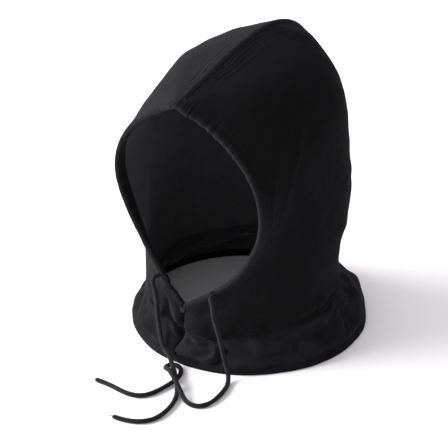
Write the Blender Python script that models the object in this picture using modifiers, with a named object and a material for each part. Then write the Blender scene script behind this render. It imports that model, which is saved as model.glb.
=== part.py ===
"""Balaclava with a drawcord: two-panel lined hood, face-edge casing, cord and neck cape.

Metres, +Z up. The wearer faces -Y and the wearer's left is +X. The origin is the
centre of the cape's footprint, on the surface that the piece stands on.
"""
import bpy
import bmesh
import numpy as np
from math import pi
from mathutils import Vector, Matrix

for ob in list(bpy.data.objects):
    bpy.data.objects.remove(ob, do_unlink=True)

# ---------------------------------------------------------------- dimensions
MM = 0.001
Y0 = 116.5 * MM              # profile datum (chin line) to the footprint's centre
SHELL_T = 1.6 * MM           # brushed outer cloth
LINING_T = 1.0 * MM          # thin inner cloth
CLOTH_GAP = 0.5 * MM         # between cloth and lining
CAPE_T = 2.0 * MM            # doubled cape cloth
HEM_T = 3.6 * MM             # folded hem, through its thickness
HEM_H = 9.0 * MM             # folded hem, height
SEAM_HALF = 4.5 * MM         # half the width of the felled crown seam
SEAM_T = 0.9 * MM
RIDGE = 0.35                 # how sharply the two panels meet at the crown
CASING_R = 4.0 * MM          # drawcord tunnel, outside
CASING_WALL = 0.8 * MM
EDGE_SET_BACK = 5.0 * MM     # cloth stops this far behind the tunnel's centre line
CORD_R = 2.5 * MM            # 5 mm round cord
EXIT_S = 0.215               # station along the face edge where the cord leaves
EYELET_R = 4.8 * MM
EYELET_BORE = 3.25 * MM
EYELET_T = 1.0 * MM
TIP_R = 0.6 * MM             # bundle of loose threads at each cord end

# Stations from the neck (0) to the brim (1), and the lines that they hang on.
STATION = np.array([0, 0.10, 0.28, 0.46, 0.64, 0.80, 0.92, 1.0])
CROWN = np.array([(221, 62), (221, 110), (235, 174), (238, 240),
                  (226, 307), (172, 351), (83, 346), (-15, 318)]) * MM
SIDE = np.array([(110, 109, 50), (111, 105, 83), (115, 113, 134), (111, 114, 188),
                 (106, 112, 241), (94, 101, 288), (53, 50, 319), (0, -15, 318)]) * MM
FACE = np.array([(0, -4, 44), (0, -6, 65), (55, 6, 109), (90, 8, 162),
                 (100, 4, 211), (77, 2, 262), (31, -5, 300), (0, -15, 318)]) * MM
BASE_RX = 136 * MM           # cape footprint, half width
BASE_RY = 137.5 * MM         # cape footprint, half depth

# Routes of the two free cord tails, from the eyelet to the cord's end.
TAIL_LEFT = np.array([
    (44.5, -128, 87), (46, -128, 76), (48, -126.5, 63), (52, -125.5, 48), (57.5, -127, 34.5),
    (64.5, -130, 20), (69.5, -131.5, 8.5), (74, -137, 3.6), (80.5, -151, 2.9),
    (84, -167.5, 2.9), (84.5, -183, 2.9), (79.5, -194.5, 2.9), (68.5, -198.5, 3.2),
    (55.5, -194, 5.4), (46, -188.5, 9.2), (37.5, -183.8, 12.6), (28.5, -178.5, 14.8),
    (18, -171.5, 13.4), (9, -165, 9), (2, -157.5, 4.4), (1, -150.2, 3),
    (6.5, -145.8, 2.9), (14, -147.5, 2.9), (20.8, -154, 2.9), (24.8, -164.5, 2.9),
    (25.8, -178, 2.9), (24.5, -194, 2.9), (21, -209, 2.9), (12.5, -219.6, 2.9),
    (-3.9, -223.4, 2.9), (-23.6, -222.1, 2.9), (-45.5, -222.8, 2.9)]) * MM
TAIL_RIGHT = np.array([
    (-39.5, -127.5, 88), (-36, -128.5, 77), (-34.5, -128, 66), (-34.5, -127, 53), (-31, -129.5, 39),
    (-24, -135.5, 29.5), (-13, -143.5, 19.5), (0, -149.5, 14.8), (12.5, -158.3, 9.6),
    (22, -166.8, 9), (31.5, -176, 7.4), (38, -182.5, 4.2), (43.5, -189.8, 2.9),
    (52.5, -207.7, 2.9), (56.7, -226.8, 2.9), (55.7, -244, 2.9), (46.7, -257.5, 2.9),
    (31.5, -265.2, 2.9), (17, -267.7, 2.9)]) * MM
TIP_LENGTH = 18 * MM
PIVOT_OUT = CASING_R + 0.35 * MM + EYELET_T + 0.4 * MM + CORD_R   # tail's hinge, from the tunnel's centre


# ---------------------------------------------------------------- curves
def spline(knots, points, t):
    """Natural cubic through points at the given knots, read at t."""
    knots = np.asarray(knots, float)
    points = np.asarray(points, float)
    n = len(knots)
    h = np.diff(knots)
    a = np.zeros((n, n))
    r = np.zeros((n, points.shape[1]))
    a[0, 0] = a[-1, -1] = 1
    for i in range(1, n - 1):
        a[i, i - 1], a[i, i], a[i, i + 1] = h[i - 1], 2 * (h[i - 1] + h[i]), h[i]
        r[i] = 6 * ((points[i + 1] - points[i]) / h[i] - (points[i] - points[i - 1]) / h[i - 1])
    m = np.linalg.solve(a, r)
    t = np.atleast_1d(np.asarray(t, float))
    k = np.clip(np.searchsorted(knots, t) - 1, 0, n - 2)
    u, w, hk = (knots[k + 1] - t)[:, None], (t - knots[k])[:, None], h[k][:, None]
    return ((m[k] * u ** 3 + m[k + 1] * w ** 3) / (6 * hk)
            + (points[k] / hk - m[k] * hk / 6) * u + (points[k + 1] / hk - m[k + 1] * hk / 6) * w)


def along(points, count):
    """Evenly spaced points on a smooth curve through a route's own points."""
    points = np.asarray(points, float)
    step = np.linalg.norm(np.diff(points, axis=0), axis=1) ** 0.7
    knots = np.r_[0, np.cumsum(step)]
    fine = spline(knots / knots[-1], points, np.linspace(0, 1, 1500))
    run = np.r_[0, np.cumsum(np.linalg.norm(np.diff(fine, axis=0), axis=1))]
    u = np.linspace(0, run[-1], count)
    return np.stack([np.interp(u, run, fine[:, i]) for i in range(3)], 1), run[-1]


def crown_at(s):
    c = spline(STATION, CROWN, s)
    return np.stack([np.zeros(len(c)), c[:, 0], c[:, 1]], 1)


def face_at(s):
    """Centre front below the chin, then the edge of the face opening."""
    s = np.atleast_1d(np.asarray(s, float))
    f = (s / STATION[1])[:, None]
    low = FACE[0] * (1 - f) + FACE[1] * f
    return np.where(s[:, None] <= STATION[1], low, spline(STATION[1:], FACE[1:], np.maximum(s, STATION[1])))


def bezier(p0, p1, p2, p3, t):
    t = t[:, None]
    return p0 * (1 - t) ** 3 + 3 * p1 * (1 - t) ** 2 * t + 3 * p2 * (1 - t) * t ** 2 + p3 * t ** 3


def row(s, count, set_back):
    """One row of cloth, from the crown seam round the side to the face edge."""
    c, w, e = crown_at(s)[0], spline(STATION, SIDE, [s])[0], face_at(s)[0]
    a, b = crown_at(max(0, s - 0.001))[0], crown_at(min(1, s + 0.001))[0]
    run = (b - a) / np.linalg.norm(b - a)
    normal = np.array([0, run[2], -run[1]])
    if normal @ (w - c) < 0:
        normal = -normal
    out = np.array([1, 0, 0]) + RIDGE * normal
    out /= np.linalg.norm(out)
    back, fwd = (c - w) * [0, 1, 1], (e - w) * [0, 1, 1]
    d = (fwd - back) / np.linalg.norm(fwd - back)
    lb, lf = np.linalg.norm(back), np.linalg.norm(fwd)
    inward = w[0] - e[0]
    q = np.clip(inward / w[0], 0, 1)
    arrive = (1 - q) * d + q * np.array([-1, 0, 0])
    arrive /= np.linalg.norm(arrive)
    k, t = 0.5523, np.linspace(0, 1, 40)
    p = np.vstack([bezier(c, c + out * k * w[0], w - d * k * lb, w, t),
                   bezier(w, w + d * k * lf, e - arrive * k * (lf * (1 - q) + inward * q), e, t)[1:]])
    dist = np.r_[0, np.cumsum(np.linalg.norm(np.diff(p, axis=0), axis=1))]
    if s > STATION[1]:
        # the row may meet the face edge at a slant: keep the square distance
        edge = face_at(min(1, s + 0.002))[0] - face_at(s - 0.002)[0]
        end = p[-1] - p[-4]
        sine = np.linalg.norm(np.cross(edge, end)) / (np.linalg.norm(edge) * np.linalg.norm(end))
        set_back /= max(sine, 0.3)
    u = np.linspace(0, dist[-1] - min(set_back, dist[-1] * 0.6), count)
    return np.stack([np.interp(u, dist, p[:, i]) for i in range(3)], 1)


ROWS = [0, .05, .10, .118, .15, .20, .26, .32, .38, .44, .50, .56, .62, .68, .74, .80, .86, .91, .955, .985, .9935]
COLS = 14


def panel_grid():
    """Inner face of the wearer's-left panel's cloth."""
    g = []
    for s in ROWS:
        back = EDGE_SET_BACK if s > STATION[1] else 0.6 * MM
        p = row(s, COLS, back)
        p[:, 1] -= Y0
        p[:, 0] += 0.6 * MM * np.exp(-p[:, 0] / (15 * MM))
        g.append(p)
    return np.array(g)


def grid_normals(g):
    di = np.gradient(g, axis=0)
    dj = np.gradient(g, axis=1)
    n = np.cross(dj, di)
    n /= np.maximum(np.linalg.norm(n, axis=2), 1e-12)[:, :, None]
    centre = np.array([0, 0, 0.19])
    if (n * (g - centre)).sum() < 0:
        n = -n
    return n


# ---------------------------------------------------------------- building
main = bpy.data.collections.new("balaclava")
bpy.context.scene.collection.children.link(main)
cutters = bpy.data.collections.new("balaclava_cutters")
bpy.context.scene.collection.children.link(cutters)

rig = bpy.data.objects.new("balaclava_origin", None)
main.objects.link(rig)


def material(name, colour, roughness):
    m = bpy.data.materials.new(name)
    m.use_nodes = True
    b = m.node_tree.nodes["Principled BSDF"]
    b.inputs["Base Color"].default_value = (*colour, 1)
    b.inputs["Roughness"].default_value = roughness
    b.inputs["Metallic"].default_value = 0.0
    return m


def add(name, mesh, colour, roughness, parent=None, collection=main):
    ob = bpy.data.objects.new(name, mesh)
    collection.objects.link(ob)
    ob.parent = parent if parent is not None else rig
    ob.data.materials.append(material("mat_" + name, colour, roughness))
    return ob


def outward_mesh(name, points, faces, centre=None):
    me = bpy.data.meshes.new(name)
    bm = bmesh.new()
    vs = [bm.verts.new(p) for p in points]
    for f in faces:
        bm.faces.new([vs[i] for i in f])
    bm.normal_update()
    if centre is not None:
        total = sum((f.calc_center_median() - Vector(centre)).dot(f.normal) * f.calc_area() for f in bm.faces)
        if total < 0:
            bmesh.ops.reverse_faces(bm, faces=bm.faces[:])
    bm.to_mesh(me)
    bm.free()
    me.shade_smooth()
    return me


def grid_faces(rows, cols, closed=False):
    f = []
    for i in range(rows - 1):
        for j in range(cols if closed else cols - 1):
            k = (j + 1) % cols
            f.append((i * cols + j, (i + 1) * cols + j, (i + 1) * cols + k, i * cols + k))
    return f


def cloth(name, g, side, thickness, outward, colour, roughness, centre=(0, 0, 0.19)):
    """An open grid thickened into a sheet of cloth; side is +1 left, -1 right."""
    pts = (g * [side, 1, 1]).reshape(-1, 3)
    ob = add(name, outward_mesh(name, pts, grid_faces(g.shape[0], g.shape[1]), centre), colour, roughness)
    m = ob.modifiers.new("Thickness", 'SOLIDIFY')
    m.thickness = thickness
    m.offset = 1.0 if outward else -1.0
    m.use_rim = True
    return ob


def closed_loft(name, rings, colour, roughness, ends=True):
    """A solid through rings of points; both ends filled, or the rings joined up."""
    rings = np.asarray(rings)
    n, k = rings.shape[:2]
    pts = rings.reshape(-1, 3)
    faces = grid_faces(n, k, closed=True)
    if ends:
        faces += [tuple(range(k))[::-1], tuple(range((n - 1) * k, n * k))]
    else:
        faces += [((n - 1) * k + j, j, (j + 1) % k, (n - 1) * k + (j + 1) % k) for j in range(k)]
    me = bpy.data.meshes.new(name)
    bm = bmesh.new()
    vs = [bm.verts.new(p) for p in pts]
    for f in faces:
        bm.faces.new([vs[i] for i in f])
    bmesh.ops.recalc_face_normals(bm, faces=bm.faces[:])
    if bm.calc_volume(signed=True) < 0:
        bmesh.ops.reverse_faces(bm, faces=bm.faces[:])
    bm.to_mesh(me)
    bm.free()
    me.shade_smooth()
    return add(name, me, colour, roughness)


def cord(name, points, radius, colour, roughness, parent=None, swell=()):
    """A round cord: a POLY curve with a bevel and filled caps; swell rounds its start."""
    cu = bpy.data.curves.new(name, 'CURVE')
    cu.dimensions = '3D'
    cu.bevel_depth = radius
    cu.bevel_resolution = 2
    cu.use_fill_caps = True
    sp = cu.splines.new('POLY')
    origin = parent.location if parent is not None else Vector((0, 0, 0))
    sp.points.add(len(points) - 1)
    for i, p in enumerate(points):
        sp.points[i].co = (p[0] - origin[0], p[1] - origin[1], p[2] - origin[2], 1)
        sp.points[i].radius = swell[i] if i < len(swell) else 1.0
    return add(name, cu, colour, roughness, parent)


BLACK = (0.018, 0.018, 0.020)
DEEP = (0.013, 0.013, 0.014)
GREY = (0.030, 0.029, 0.031)

# Hood cloth and lining -------------------------------------------------------
grid = panel_grid()
normal = grid_normals(grid)
inner = grid - normal * CLOTH_GAP
inner[:, :, 0] += 1.1 * MM * np.exp(-grid[:, :, 0] / (12 * MM))
for word, side in (("left", 1), ("right", -1)):
    cloth("shell_" + word, grid, side, SHELL_T, True, BLACK, 0.9)
    cloth("lining_" + word, inner, side, LINING_T, False, DEEP, 0.95)

# Felled crown seam: a narrow double band over the join of the panels ---------
first, last = 1, len(ROWS) - 1
left_line, ridge_line = [], []
for i in range(first, last + 1):
    a, b = grid[i, 0], grid[i, 1]
    na, nb = normal[i, 0], normal[i, 1]
    f = min(1.0, SEAM_HALF / np.linalg.norm(b - a))
    n = na * (1 - f) + nb * f
    left_line.append(a * (1 - f) + b * f + n / np.linalg.norm(n) * (SHELL_T + CLOTH_GAP))
    flat = na * [0, 1, 1]
    ridge_line.append(a * [0, 1, 1] + flat / np.linalg.norm(flat) * (SHELL_T + CLOTH_GAP + 0.15 * MM))
left_line, ridge_line = np.array(left_line), np.array(ridge_line)
band = np.stack([left_line, ridge_line, left_line * [-1, 1, 1]], 1)
cloth("crown_seam", band, 1, SEAM_T, True, DEEP, 0.85)

# Drawcord tunnel along the face edge -----------------------------------------
TUNNEL = np.array([.130, .15, .175, .194, EXIT_S, .236, .26, .30, .34, .38, .42, .46, .50, .54,
                   .58, .62, .66, .70, .74, .78, .82, .86, .90, .94, .97, 1.0])
centre_line = face_at(TUNNEL)
centre_line[:, 1] -= Y0
tangent = np.gradient(centre_line, axis=0)
tangent /= np.linalg.norm(tangent, axis=1)[:, None]
tangent[-1] = (-1, 0, 0)
centre_line[-1, 0] = 0.25 * MM
SIDES = 10


def tunnel_rings(radius):
    rings = []
    for c, t in zip(centre_line, tangent):
        u = np.cross(t, (0, 1, 0))
        u /= np.linalg.norm(u)
        v = np.cross(t, u)
        a = np.arange(SIDES) * 2 * pi / SIDES
        rings.append(c + radius * (np.cos(a)[:, None] * u + np.sin(a)[:, None] * v))
    return np.array(rings)


outer_rings = tunnel_rings(CASING_R)
bore_rings = tunnel_rings(CASING_R - CASING_WALL)
exit_index = list(TUNNEL).index(EXIT_S)
exit_point = centre_line[exit_index]
along_tunnel = Vector(tangent[exit_index])
exit_dir = Vector((0.0, -0.95, -0.25))
exit_dir = (exit_dir - along_tunnel * exit_dir.dot(along_tunnel)).normalized()
for word, side in (("left", 1), ("right", -1)):
    rings = np.concatenate([outer_rings, bore_rings[::-1]])
    ob = closed_loft("casing_" + word, rings * [side, 1, 1], BLACK, 0.9, ends=False)
    flip = Vector((side, 1, 1))
    at = Vector(exit_point) * 1.0
    at.x *= side
    d = Vector((exit_dir.x * side, exit_dir.y, exit_dir.z))
    turn = d.to_track_quat('Z', 'Y').to_matrix().to_4x4()
    me = bpy.data.meshes.new("exit_cutter_" + word)
    bm = bmesh.new()
    bmesh.ops.create_cone(bm, cap_ends=True, segments=12, radius1=3.3 * MM, radius2=3.3 * MM, depth=6 * MM)
    bm.to_mesh(me)
    bm.free()
    cutter = bpy.data.objects.new("exit_cutter_" + word, me)
    cutters.objects.link(cutter)
    cutter.matrix_world = Matrix.Translation(at + d * 4.5 * MM) @ turn
    cutter.hide_render = True
    cutter.display_type = 'WIRE'
    m = ob.modifiers.new("Exit hole", 'BOOLEAN')
    m.operation = 'DIFFERENCE'
    m.solver = 'EXACT'
    m.object = cutter

    # stitched eyelet over the hole: a turned ring
    me = bpy.data.meshes.new("eyelet_" + word)
    bm = bmesh.new()
    prof = [(EYELET_BORE, 0), (EYELET_R, 0), (EYELET_R, EYELET_T * 0.6), (EYELET_R - 0.5 * MM, EYELET_T),
            (EYELET_BORE + 0.3 * MM, EYELET_T)]
    n = 16
    loops = [[bm.verts.new((r * np.cos(2 * pi * k / n), r * np.sin(2 * pi * k / n), z)) for k in range(n)]
             for r, z in prof]
    for q in range(len(prof)):
        lo, hi = loops[q], loops[(q + 1) % len(prof)]
        for k in range(n):
            bm.faces.new((lo[k], lo[(k + 1) % n], hi[(k + 1) % n], hi[k]))
    bmesh.ops.recalc_face_normals(bm, faces=bm.faces[:])
    bm.to_mesh(me)
    bm.free()
    eye = add("eyelet_" + word, me, GREY, 0.7)
    eye.matrix_world = Matrix.Translation(at + d * (CASING_R + 0.35 * MM)) @ turn

# Cord inside the tunnel, from one exit over the brim to the other ------------
half = centre_line[exit_index:-1]
brim = centre_line[-1] * [0, 1, 1]
inner_path = np.vstack([half, brim[None], half[::-1] * [-1, 1, 1]])
cord("drawcord_inner", inner_path, CORD_R, GREY, 0.8)

# Free tails: each hangs from its eyelet, on an empty at the eyelet ------------
for word, side, route in (("left", 1, TAIL_LEFT), ("right", -1, TAIL_RIGHT)):
    at = Vector((exit_point[0] * side, exit_point[1], exit_point[2]))
    d = Vector((exit_dir.x * side, exit_dir.y, exit_dir.z))
    hang = at + d * PIVOT_OUT
    pivot = bpy.data.objects.new("tail_pivot_" + word, None)
    pivot.location = hang
    main.objects.link(pivot)
    pts, length = along(np.vstack([[tuple(hang), tuple(hang + d * 2.0 * MM)], route]), 30 if word == "right" else 44)
    ball = [(x, np.sqrt(CORD_R ** 2 - (CORD_R - x) ** 2) / CORD_R) for x in (0.12 * MM, 0.6 * MM, 1.4 * MM)]
    nose = [tuple(hang - d * (CORD_R - x)) for x, _ in ball]
    cord("drawcord_tail_" + word, np.vstack([nose, pts]), CORD_R, GREY, 0.8, pivot, [r for _, r in ball])
    run = pts[-1] - pts[-2]
    run[2] = 0
    run /= np.linalg.norm(run)
    tip = [pts[-1] + run * (0.35 * MM + TIP_LENGTH * f) + np.array([0, 0, -1.2 * MM * f])
           for f in np.linspace(0, 1, 5)]
    cord("cord_end_" + word, tip, TIP_R, (0.25, 0.25, 0.26), 0.8, pivot)

# Cape from the neck line to the hem -------------------------------------------
CAPE_COLS = 19
neck = row(0, CAPE_COLS, 0.6 * MM)
neck[:, 1] -= Y0
neck[:, 0] += 0.6 * MM * np.exp(-neck[:, 0] / (15 * MM))
mid_y = (neck[0, 1] + neck[-1, 1]) / 2
phi = np.arctan2(neck[:, 0] / (100 * MM), (neck[:, 1] - mid_y) / (110 * MM))
foot = np.stack([BASE_RX * np.sin(phi), BASE_RY * np.cos(phi), 0 * phi], 1)
foot[:, 0] = np.maximum(foot[:, 0], 0.4 * MM)


CAPE_FOOT_Z = HEM_H + 0.7 * MM


def cape_row(v):
    r = np.sin(v * pi / 2)
    p = neck * (1 - r) + foot * r
    top = neck[:, 2] - 0.9 * MM
    p[:, 2] = CAPE_FOOT_Z + (top - CAPE_FOOT_Z) * (1 - v ** 1.3)
    return p


cape_grid = np.array([cape_row(v) for v in (0, .16, .32, .48, .66, .84, 1.0)])
for word, side in (("left", 1), ("right", -1)):
    cloth("cape_" + word, cape_grid, side, CAPE_T, False, BLACK, 0.9, centre=(0, 0, -0.02))

# Hem: a folded band that the whole piece stands on ----------------------------
ring_phi = np.linspace(0, 2 * pi, 40, endpoint=False)
hem = []
for a in ring_phi:
    n = np.array([np.sin(a), np.cos(a)])
    section = [(0.0, 0.0), (0.0, HEM_H * 0.55), (-0.9 * MM, HEM_H), (-HEM_T - 0.9 * MM, HEM_H),
               (-HEM_T, HEM_H * 0.55), (-HEM_T, 0.0)]
    hem.append([((BASE_RX + r) * n[0], (BASE_RY + r) * n[1], z) for r, z in section])
closed_loft("cape_hem", hem, BLACK, 0.9, ends=False)

# Neck seam tape, inside the join of hood and cape ------------------------------
tape_cols = COLS
edge = grid[0]
n0 = normal[0] * [1, 1, 0]
n0 /= np.linalg.norm(n0, axis=1)[:, None]
inset = CLOTH_GAP + LINING_T + 1.3 * MM
left = edge - n0 * inset
left[0] = edge[0] * [0, 1, 1] + np.array([0, -inset, 0])
left[-1] = edge[-1] * [0, 1, 1] + np.array([0, inset, 0])
ring = np.vstack([left, (left * [-1, 1, 1])[-2:0:-1]])
inward = np.vstack([n0, (n0 * [-1, 1, 1])[-2:0:-1]])
tape = []
for p, n in zip(ring, inward):
    n = n if abs(p[0]) > 1e-6 else np.array([0, np.sign(p[1]), 0])
    tape.append([p + np.array([0, 0, 5 * MM]), p + np.array([0, 0, -5 * MM]),
                 p - n * 0.9 * MM + np.array([0, 0, -5 * MM]), p - n * 0.9 * MM + np.array([0, 0, 5 * MM])])
closed_loft("neck_seam_tape", tape, DEEP, 0.85, ends=False)

# Chin bartack where the two tunnels meet ----------------------------------------
me = bpy.data.meshes.new("chin_bartack")
bm = bmesh.new()
bmesh.ops.create_cube(bm, size=1.0)
bmesh.ops.scale(bm, vec=(9 * MM, 1.4 * MM, 2.6 * MM), verts=bm.verts[:])
bm.to_mesh(me)
bm.free()
tack = add("chin_bartack", me, GREY, 0.7)
tack.location = (0, FACE[1][1] - Y0 - SHELL_T - 1.4 * MM, FACE[1][2] - 5 * MM)
m = tack.modifiers.new("Soft edges", 'BEVEL')
m.width = 0.5 * MM
m.segments = 2
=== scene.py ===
"""Finished look of the balaclava: cloth, lining, seams, stitches, cord and cape."""
from math import pi, radians, sin, cos
import bpy
import numpy as np
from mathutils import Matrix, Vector
from mathutils.bvhtree import BVHTree


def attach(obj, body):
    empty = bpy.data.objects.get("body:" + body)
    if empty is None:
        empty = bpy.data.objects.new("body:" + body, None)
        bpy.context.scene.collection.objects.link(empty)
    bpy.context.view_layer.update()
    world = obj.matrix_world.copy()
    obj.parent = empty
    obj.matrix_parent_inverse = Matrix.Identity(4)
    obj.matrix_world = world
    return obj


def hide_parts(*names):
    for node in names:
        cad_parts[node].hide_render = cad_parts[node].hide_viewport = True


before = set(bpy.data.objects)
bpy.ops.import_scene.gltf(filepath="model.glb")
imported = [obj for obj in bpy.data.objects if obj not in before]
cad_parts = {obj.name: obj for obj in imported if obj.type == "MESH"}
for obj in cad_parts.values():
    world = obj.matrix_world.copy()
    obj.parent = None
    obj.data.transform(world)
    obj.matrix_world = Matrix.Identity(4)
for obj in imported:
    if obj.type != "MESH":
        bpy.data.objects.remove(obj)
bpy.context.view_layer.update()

MM = 0.001
scene = bpy.context.scene

# ------------------------------------------------------------------ camera
AZ, EL, DIST = radians(37.58), radians(28.70), 2.5354
AIM = Vector((-0.02458, -0.01642, 0.11644))
BACK = Vector((sin(AZ) * cos(EL), -cos(AZ) * cos(EL), sin(EL)))
cam_data = bpy.data.cameras.new("camera")
cam_data.sensor_width = 36
cam_data.lens = 178.1
cam_data.clip_end = 50
cam = bpy.data.objects.new("camera", cam_data)
scene.collection.objects.link(cam)
cam.location = AIM + BACK * DIST
cam.rotation_euler = BACK.to_track_quat('Z', 'Y').to_euler()
scene.camera = cam

# ------------------------------------------------------------------ the garment's lines
Y0 = 116.5 * MM
RIDGE = 0.35
EXIT_S = 0.215
STATION = np.array([0, 0.10, 0.28, 0.46, 0.64, 0.80, 0.92, 1.0])
CROWN = np.array([(221, 62), (221, 110), (235, 174), (238, 240),
                  (226, 307), (172, 351), (83, 346), (-15, 318)]) * MM
SIDE = np.array([(110, 109, 50), (111, 105, 83), (115, 113, 134), (111, 114, 188),
                 (106, 112, 241), (94, 101, 288), (53, 50, 319), (0, -15, 318)]) * MM
FACE = np.array([(0, -4, 44), (0, -6, 65), (55, 6, 109), (90, 8, 162),
                 (100, 4, 211), (77, 2, 262), (31, -5, 300), (0, -15, 318)]) * MM
BASE_RX, BASE_RY = 136 * MM, 137.5 * MM
HEM_H = 9.0 * MM
CORD_R = 2.5 * MM
TAIL_LEFT = np.array([
    (44.5, -128, 87), (46, -128, 76), (48, -126.5, 63), (52, -125.5, 48), (57.5, -127, 34.5),
    (64.5, -130, 20), (69.5, -131.5, 8.5), (74, -137, 3.6), (80.5, -151, 2.9),
    (84, -167.5, 2.9), (84.5, -183, 2.9), (79.5, -194.5, 2.9), (68.5, -198.5, 3.2),
    (55.5, -194, 5.4), (46, -188.5, 9.2), (37.5, -183.8, 12.6), (28.5, -178.5, 14.8),
    (18, -171.5, 13.4), (9, -165, 9), (2, -157.5, 4.4), (1, -150.2, 3),
    (6.5, -145.8, 2.9), (14, -147.5, 2.9), (20.8, -154, 2.9), (24.8, -164.5, 2.9),
    (25.8, -178, 2.9), (24.5, -194, 2.9), (21, -209, 2.9), (12.5, -219.6, 2.9),
    (-3.9, -223.4, 2.9), (-23.6, -222.1, 2.9), (-45.5, -222.8, 2.9)]) * MM
TAIL_RIGHT = np.array([
    (-39.5, -127.5, 88), (-36, -128.5, 77), (-34.5, -128, 66), (-34.5, -127, 53), (-31, -129.5, 39),
    (-24, -135.5, 29.5), (-13, -143.5, 19.5), (0, -149.5, 14.8), (12.5, -158.3, 9.6),
    (22, -166.8, 9), (31.5, -176, 7.4), (38, -182.5, 4.2), (43.5, -189.8, 2.9),
    (52.5, -207.7, 2.9), (56.7, -226.8, 2.9), (55.7, -244, 2.9), (46.7, -257.5, 2.9),
    (31.5, -265.2, 2.9), (17, -267.7, 2.9)]) * MM


def spline(knots, points, t):
    knots, points = np.asarray(knots, float), np.asarray(points, float)
    n = len(knots)
    h = np.diff(knots)
    a, r = np.zeros((n, n)), np.zeros((n, points.shape[1]))
    a[0, 0] = a[-1, -1] = 1
    for i in range(1, n - 1):
        a[i, i - 1], a[i, i], a[i, i + 1] = h[i - 1], 2 * (h[i - 1] + h[i]), h[i]
        r[i] = 6 * ((points[i + 1] - points[i]) / h[i] - (points[i] - points[i - 1]) / h[i - 1])
    m = np.linalg.solve(a, r)
    t = np.atleast_1d(np.asarray(t, float))
    k = np.clip(np.searchsorted(knots, t) - 1, 0, n - 2)
    u, w, hk = (knots[k + 1] - t)[:, None], (t - knots[k])[:, None], h[k][:, None]
    return ((m[k] * u ** 3 + m[k + 1] * w ** 3) / (6 * hk)
            + (points[k] / hk - m[k] * hk / 6) * u + (points[k + 1] / hk - m[k + 1] * hk / 6) * w)


def run_of(p):
    return np.r_[0, np.cumsum(np.linalg.norm(np.diff(p, axis=0), axis=1))]


def even(p, count):
    d = run_of(p)
    u = np.linspace(0, d[-1], count)
    return np.stack([np.interp(u, d, p[:, i]) for i in range(3)], 1)


def smooth_route(points, step):
    points = np.asarray(points, float)
    knots = np.r_[0, np.cumsum(np.linalg.norm(np.diff(points, axis=0), axis=1) ** 0.7)]
    fine = spline(knots / knots[-1], points, np.linspace(0, 1, 3000))
    return even(fine, int(round(run_of(fine)[-1] / step)) + 1)


def crown_at(s):
    c = spline(STATION, CROWN, s)
    return np.stack([np.zeros(len(c)), c[:, 0] - Y0, c[:, 1]], 1)


def face_at(s):
    s = np.atleast_1d(np.asarray(s, float))
    f = (s / STATION[1])[:, None]
    low = FACE[0] * (1 - f) + FACE[1] * f
    p = np.where(s[:, None] <= STATION[1], low, spline(STATION[1:], FACE[1:], np.maximum(s, STATION[1])))
    return p - [0, Y0, 0]


def bezier(p0, p1, p2, p3, t):
    t = t[:, None]
    return p0 * (1 - t) ** 3 + 3 * p1 * (1 - t) ** 2 * t + 3 * p2 * (1 - t) * t ** 2 + p3 * t ** 3


def row_line(s):
    """One finely drawn row of cloth, crown seam to face edge, and how squarely it meets the edge."""
    c, e = crown_at(s)[0], face_at(s)[0]
    w = spline(STATION, SIDE, [s])[0] - [0, Y0, 0]
    a, b = crown_at(max(0, s - 0.001))[0], crown_at(min(1, s + 0.001))[0]
    run = (b - a) / np.linalg.norm(b - a)
    normal = np.array([0, run[2], -run[1]])
    if normal @ (w - c) < 0:
        normal = -normal
    out = np.array([1, 0, 0]) + RIDGE * normal
    out /= np.linalg.norm(out)
    back, fwd = (c - w) * [0, 1, 1], (e - w) * [0, 1, 1]
    d = (fwd - back) / max(np.linalg.norm(fwd - back), 1e-9)
    lb, lf = np.linalg.norm(back), np.linalg.norm(fwd)
    inward = w[0] - e[0]
    q = np.clip(inward / max(w[0], 1e-9), 0, 1)
    arrive = (1 - q) * d + q * np.array([-1, 0, 0])
    arrive /= np.linalg.norm(arrive)
    k, t = 0.5523, np.linspace(0, 1, 90)
    p = np.vstack([bezier(c, c + out * k * w[0], w - d * k * lb, w, t),
                   bezier(w, w + d * k * lf, e - arrive * k * (lf * (1 - q) + inward * q), e, t)[1:]])
    sine = 1.0
    if s > STATION[1]:
        edge = face_at(min(1, s + 0.002))[0] - face_at(s - 0.002)[0]
        end = p[-1] - p[-4]
        sine = np.linalg.norm(np.cross(edge, end)) / (np.linalg.norm(edge) * np.linalg.norm(end) + 1e-12)
    return p, max(sine, 0.3)


def panel_rows(stations, cols, set_back):
    """Grid of the wearer's-left panel; set_back keeps the cloth short of the face edge."""
    g = []
    for s in stations:
        p, sine = row_line(s)
        d = run_of(p)
        ease = np.clip((s - 0.10) / 0.02, 0, 1)
        cut = set_back * ease * ease * (3 - 2 * ease) / sine
        u = np.linspace(0, d[-1] - min(cut, d[-1] * 0.6), cols)
        g.append(np.stack([np.interp(u, d, p[:, i]) for i in range(3)], 1))
    return np.array(g)


def grid_normals(g, centre=(0, 0, 0.19)):
    n = np.cross(np.gradient(g, axis=1), np.gradient(g, axis=0))
    n /= np.maximum(np.linalg.norm(n, axis=2), 1e-12)[:, :, None]
    return -n if (n * (g - np.asarray(centre))).sum() < 0 else n


# ------------------------------------------------------------------ relief: folds, creases and puckers
def to_line(p, line):
    """Distance of points to a polyline, and the run along it of the nearest point."""
    best = np.full(len(p), 9.0)
    at = np.zeros(len(p))
    run = run_of(line)
    for i in range(len(line) - 1):
        a, d = line[i], line[i + 1] - line[i]
        t = np.clip(((p - a) @ d) / (d @ d), 0, 1)
        dist = np.linalg.norm(p - (a + t[:, None] * d), axis=1)
        near = dist < best
        best[near] = dist[near]
        at[near] = run[i] + t[near] * (run[i + 1] - run[i])
    return best, at, run[-1]


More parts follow.
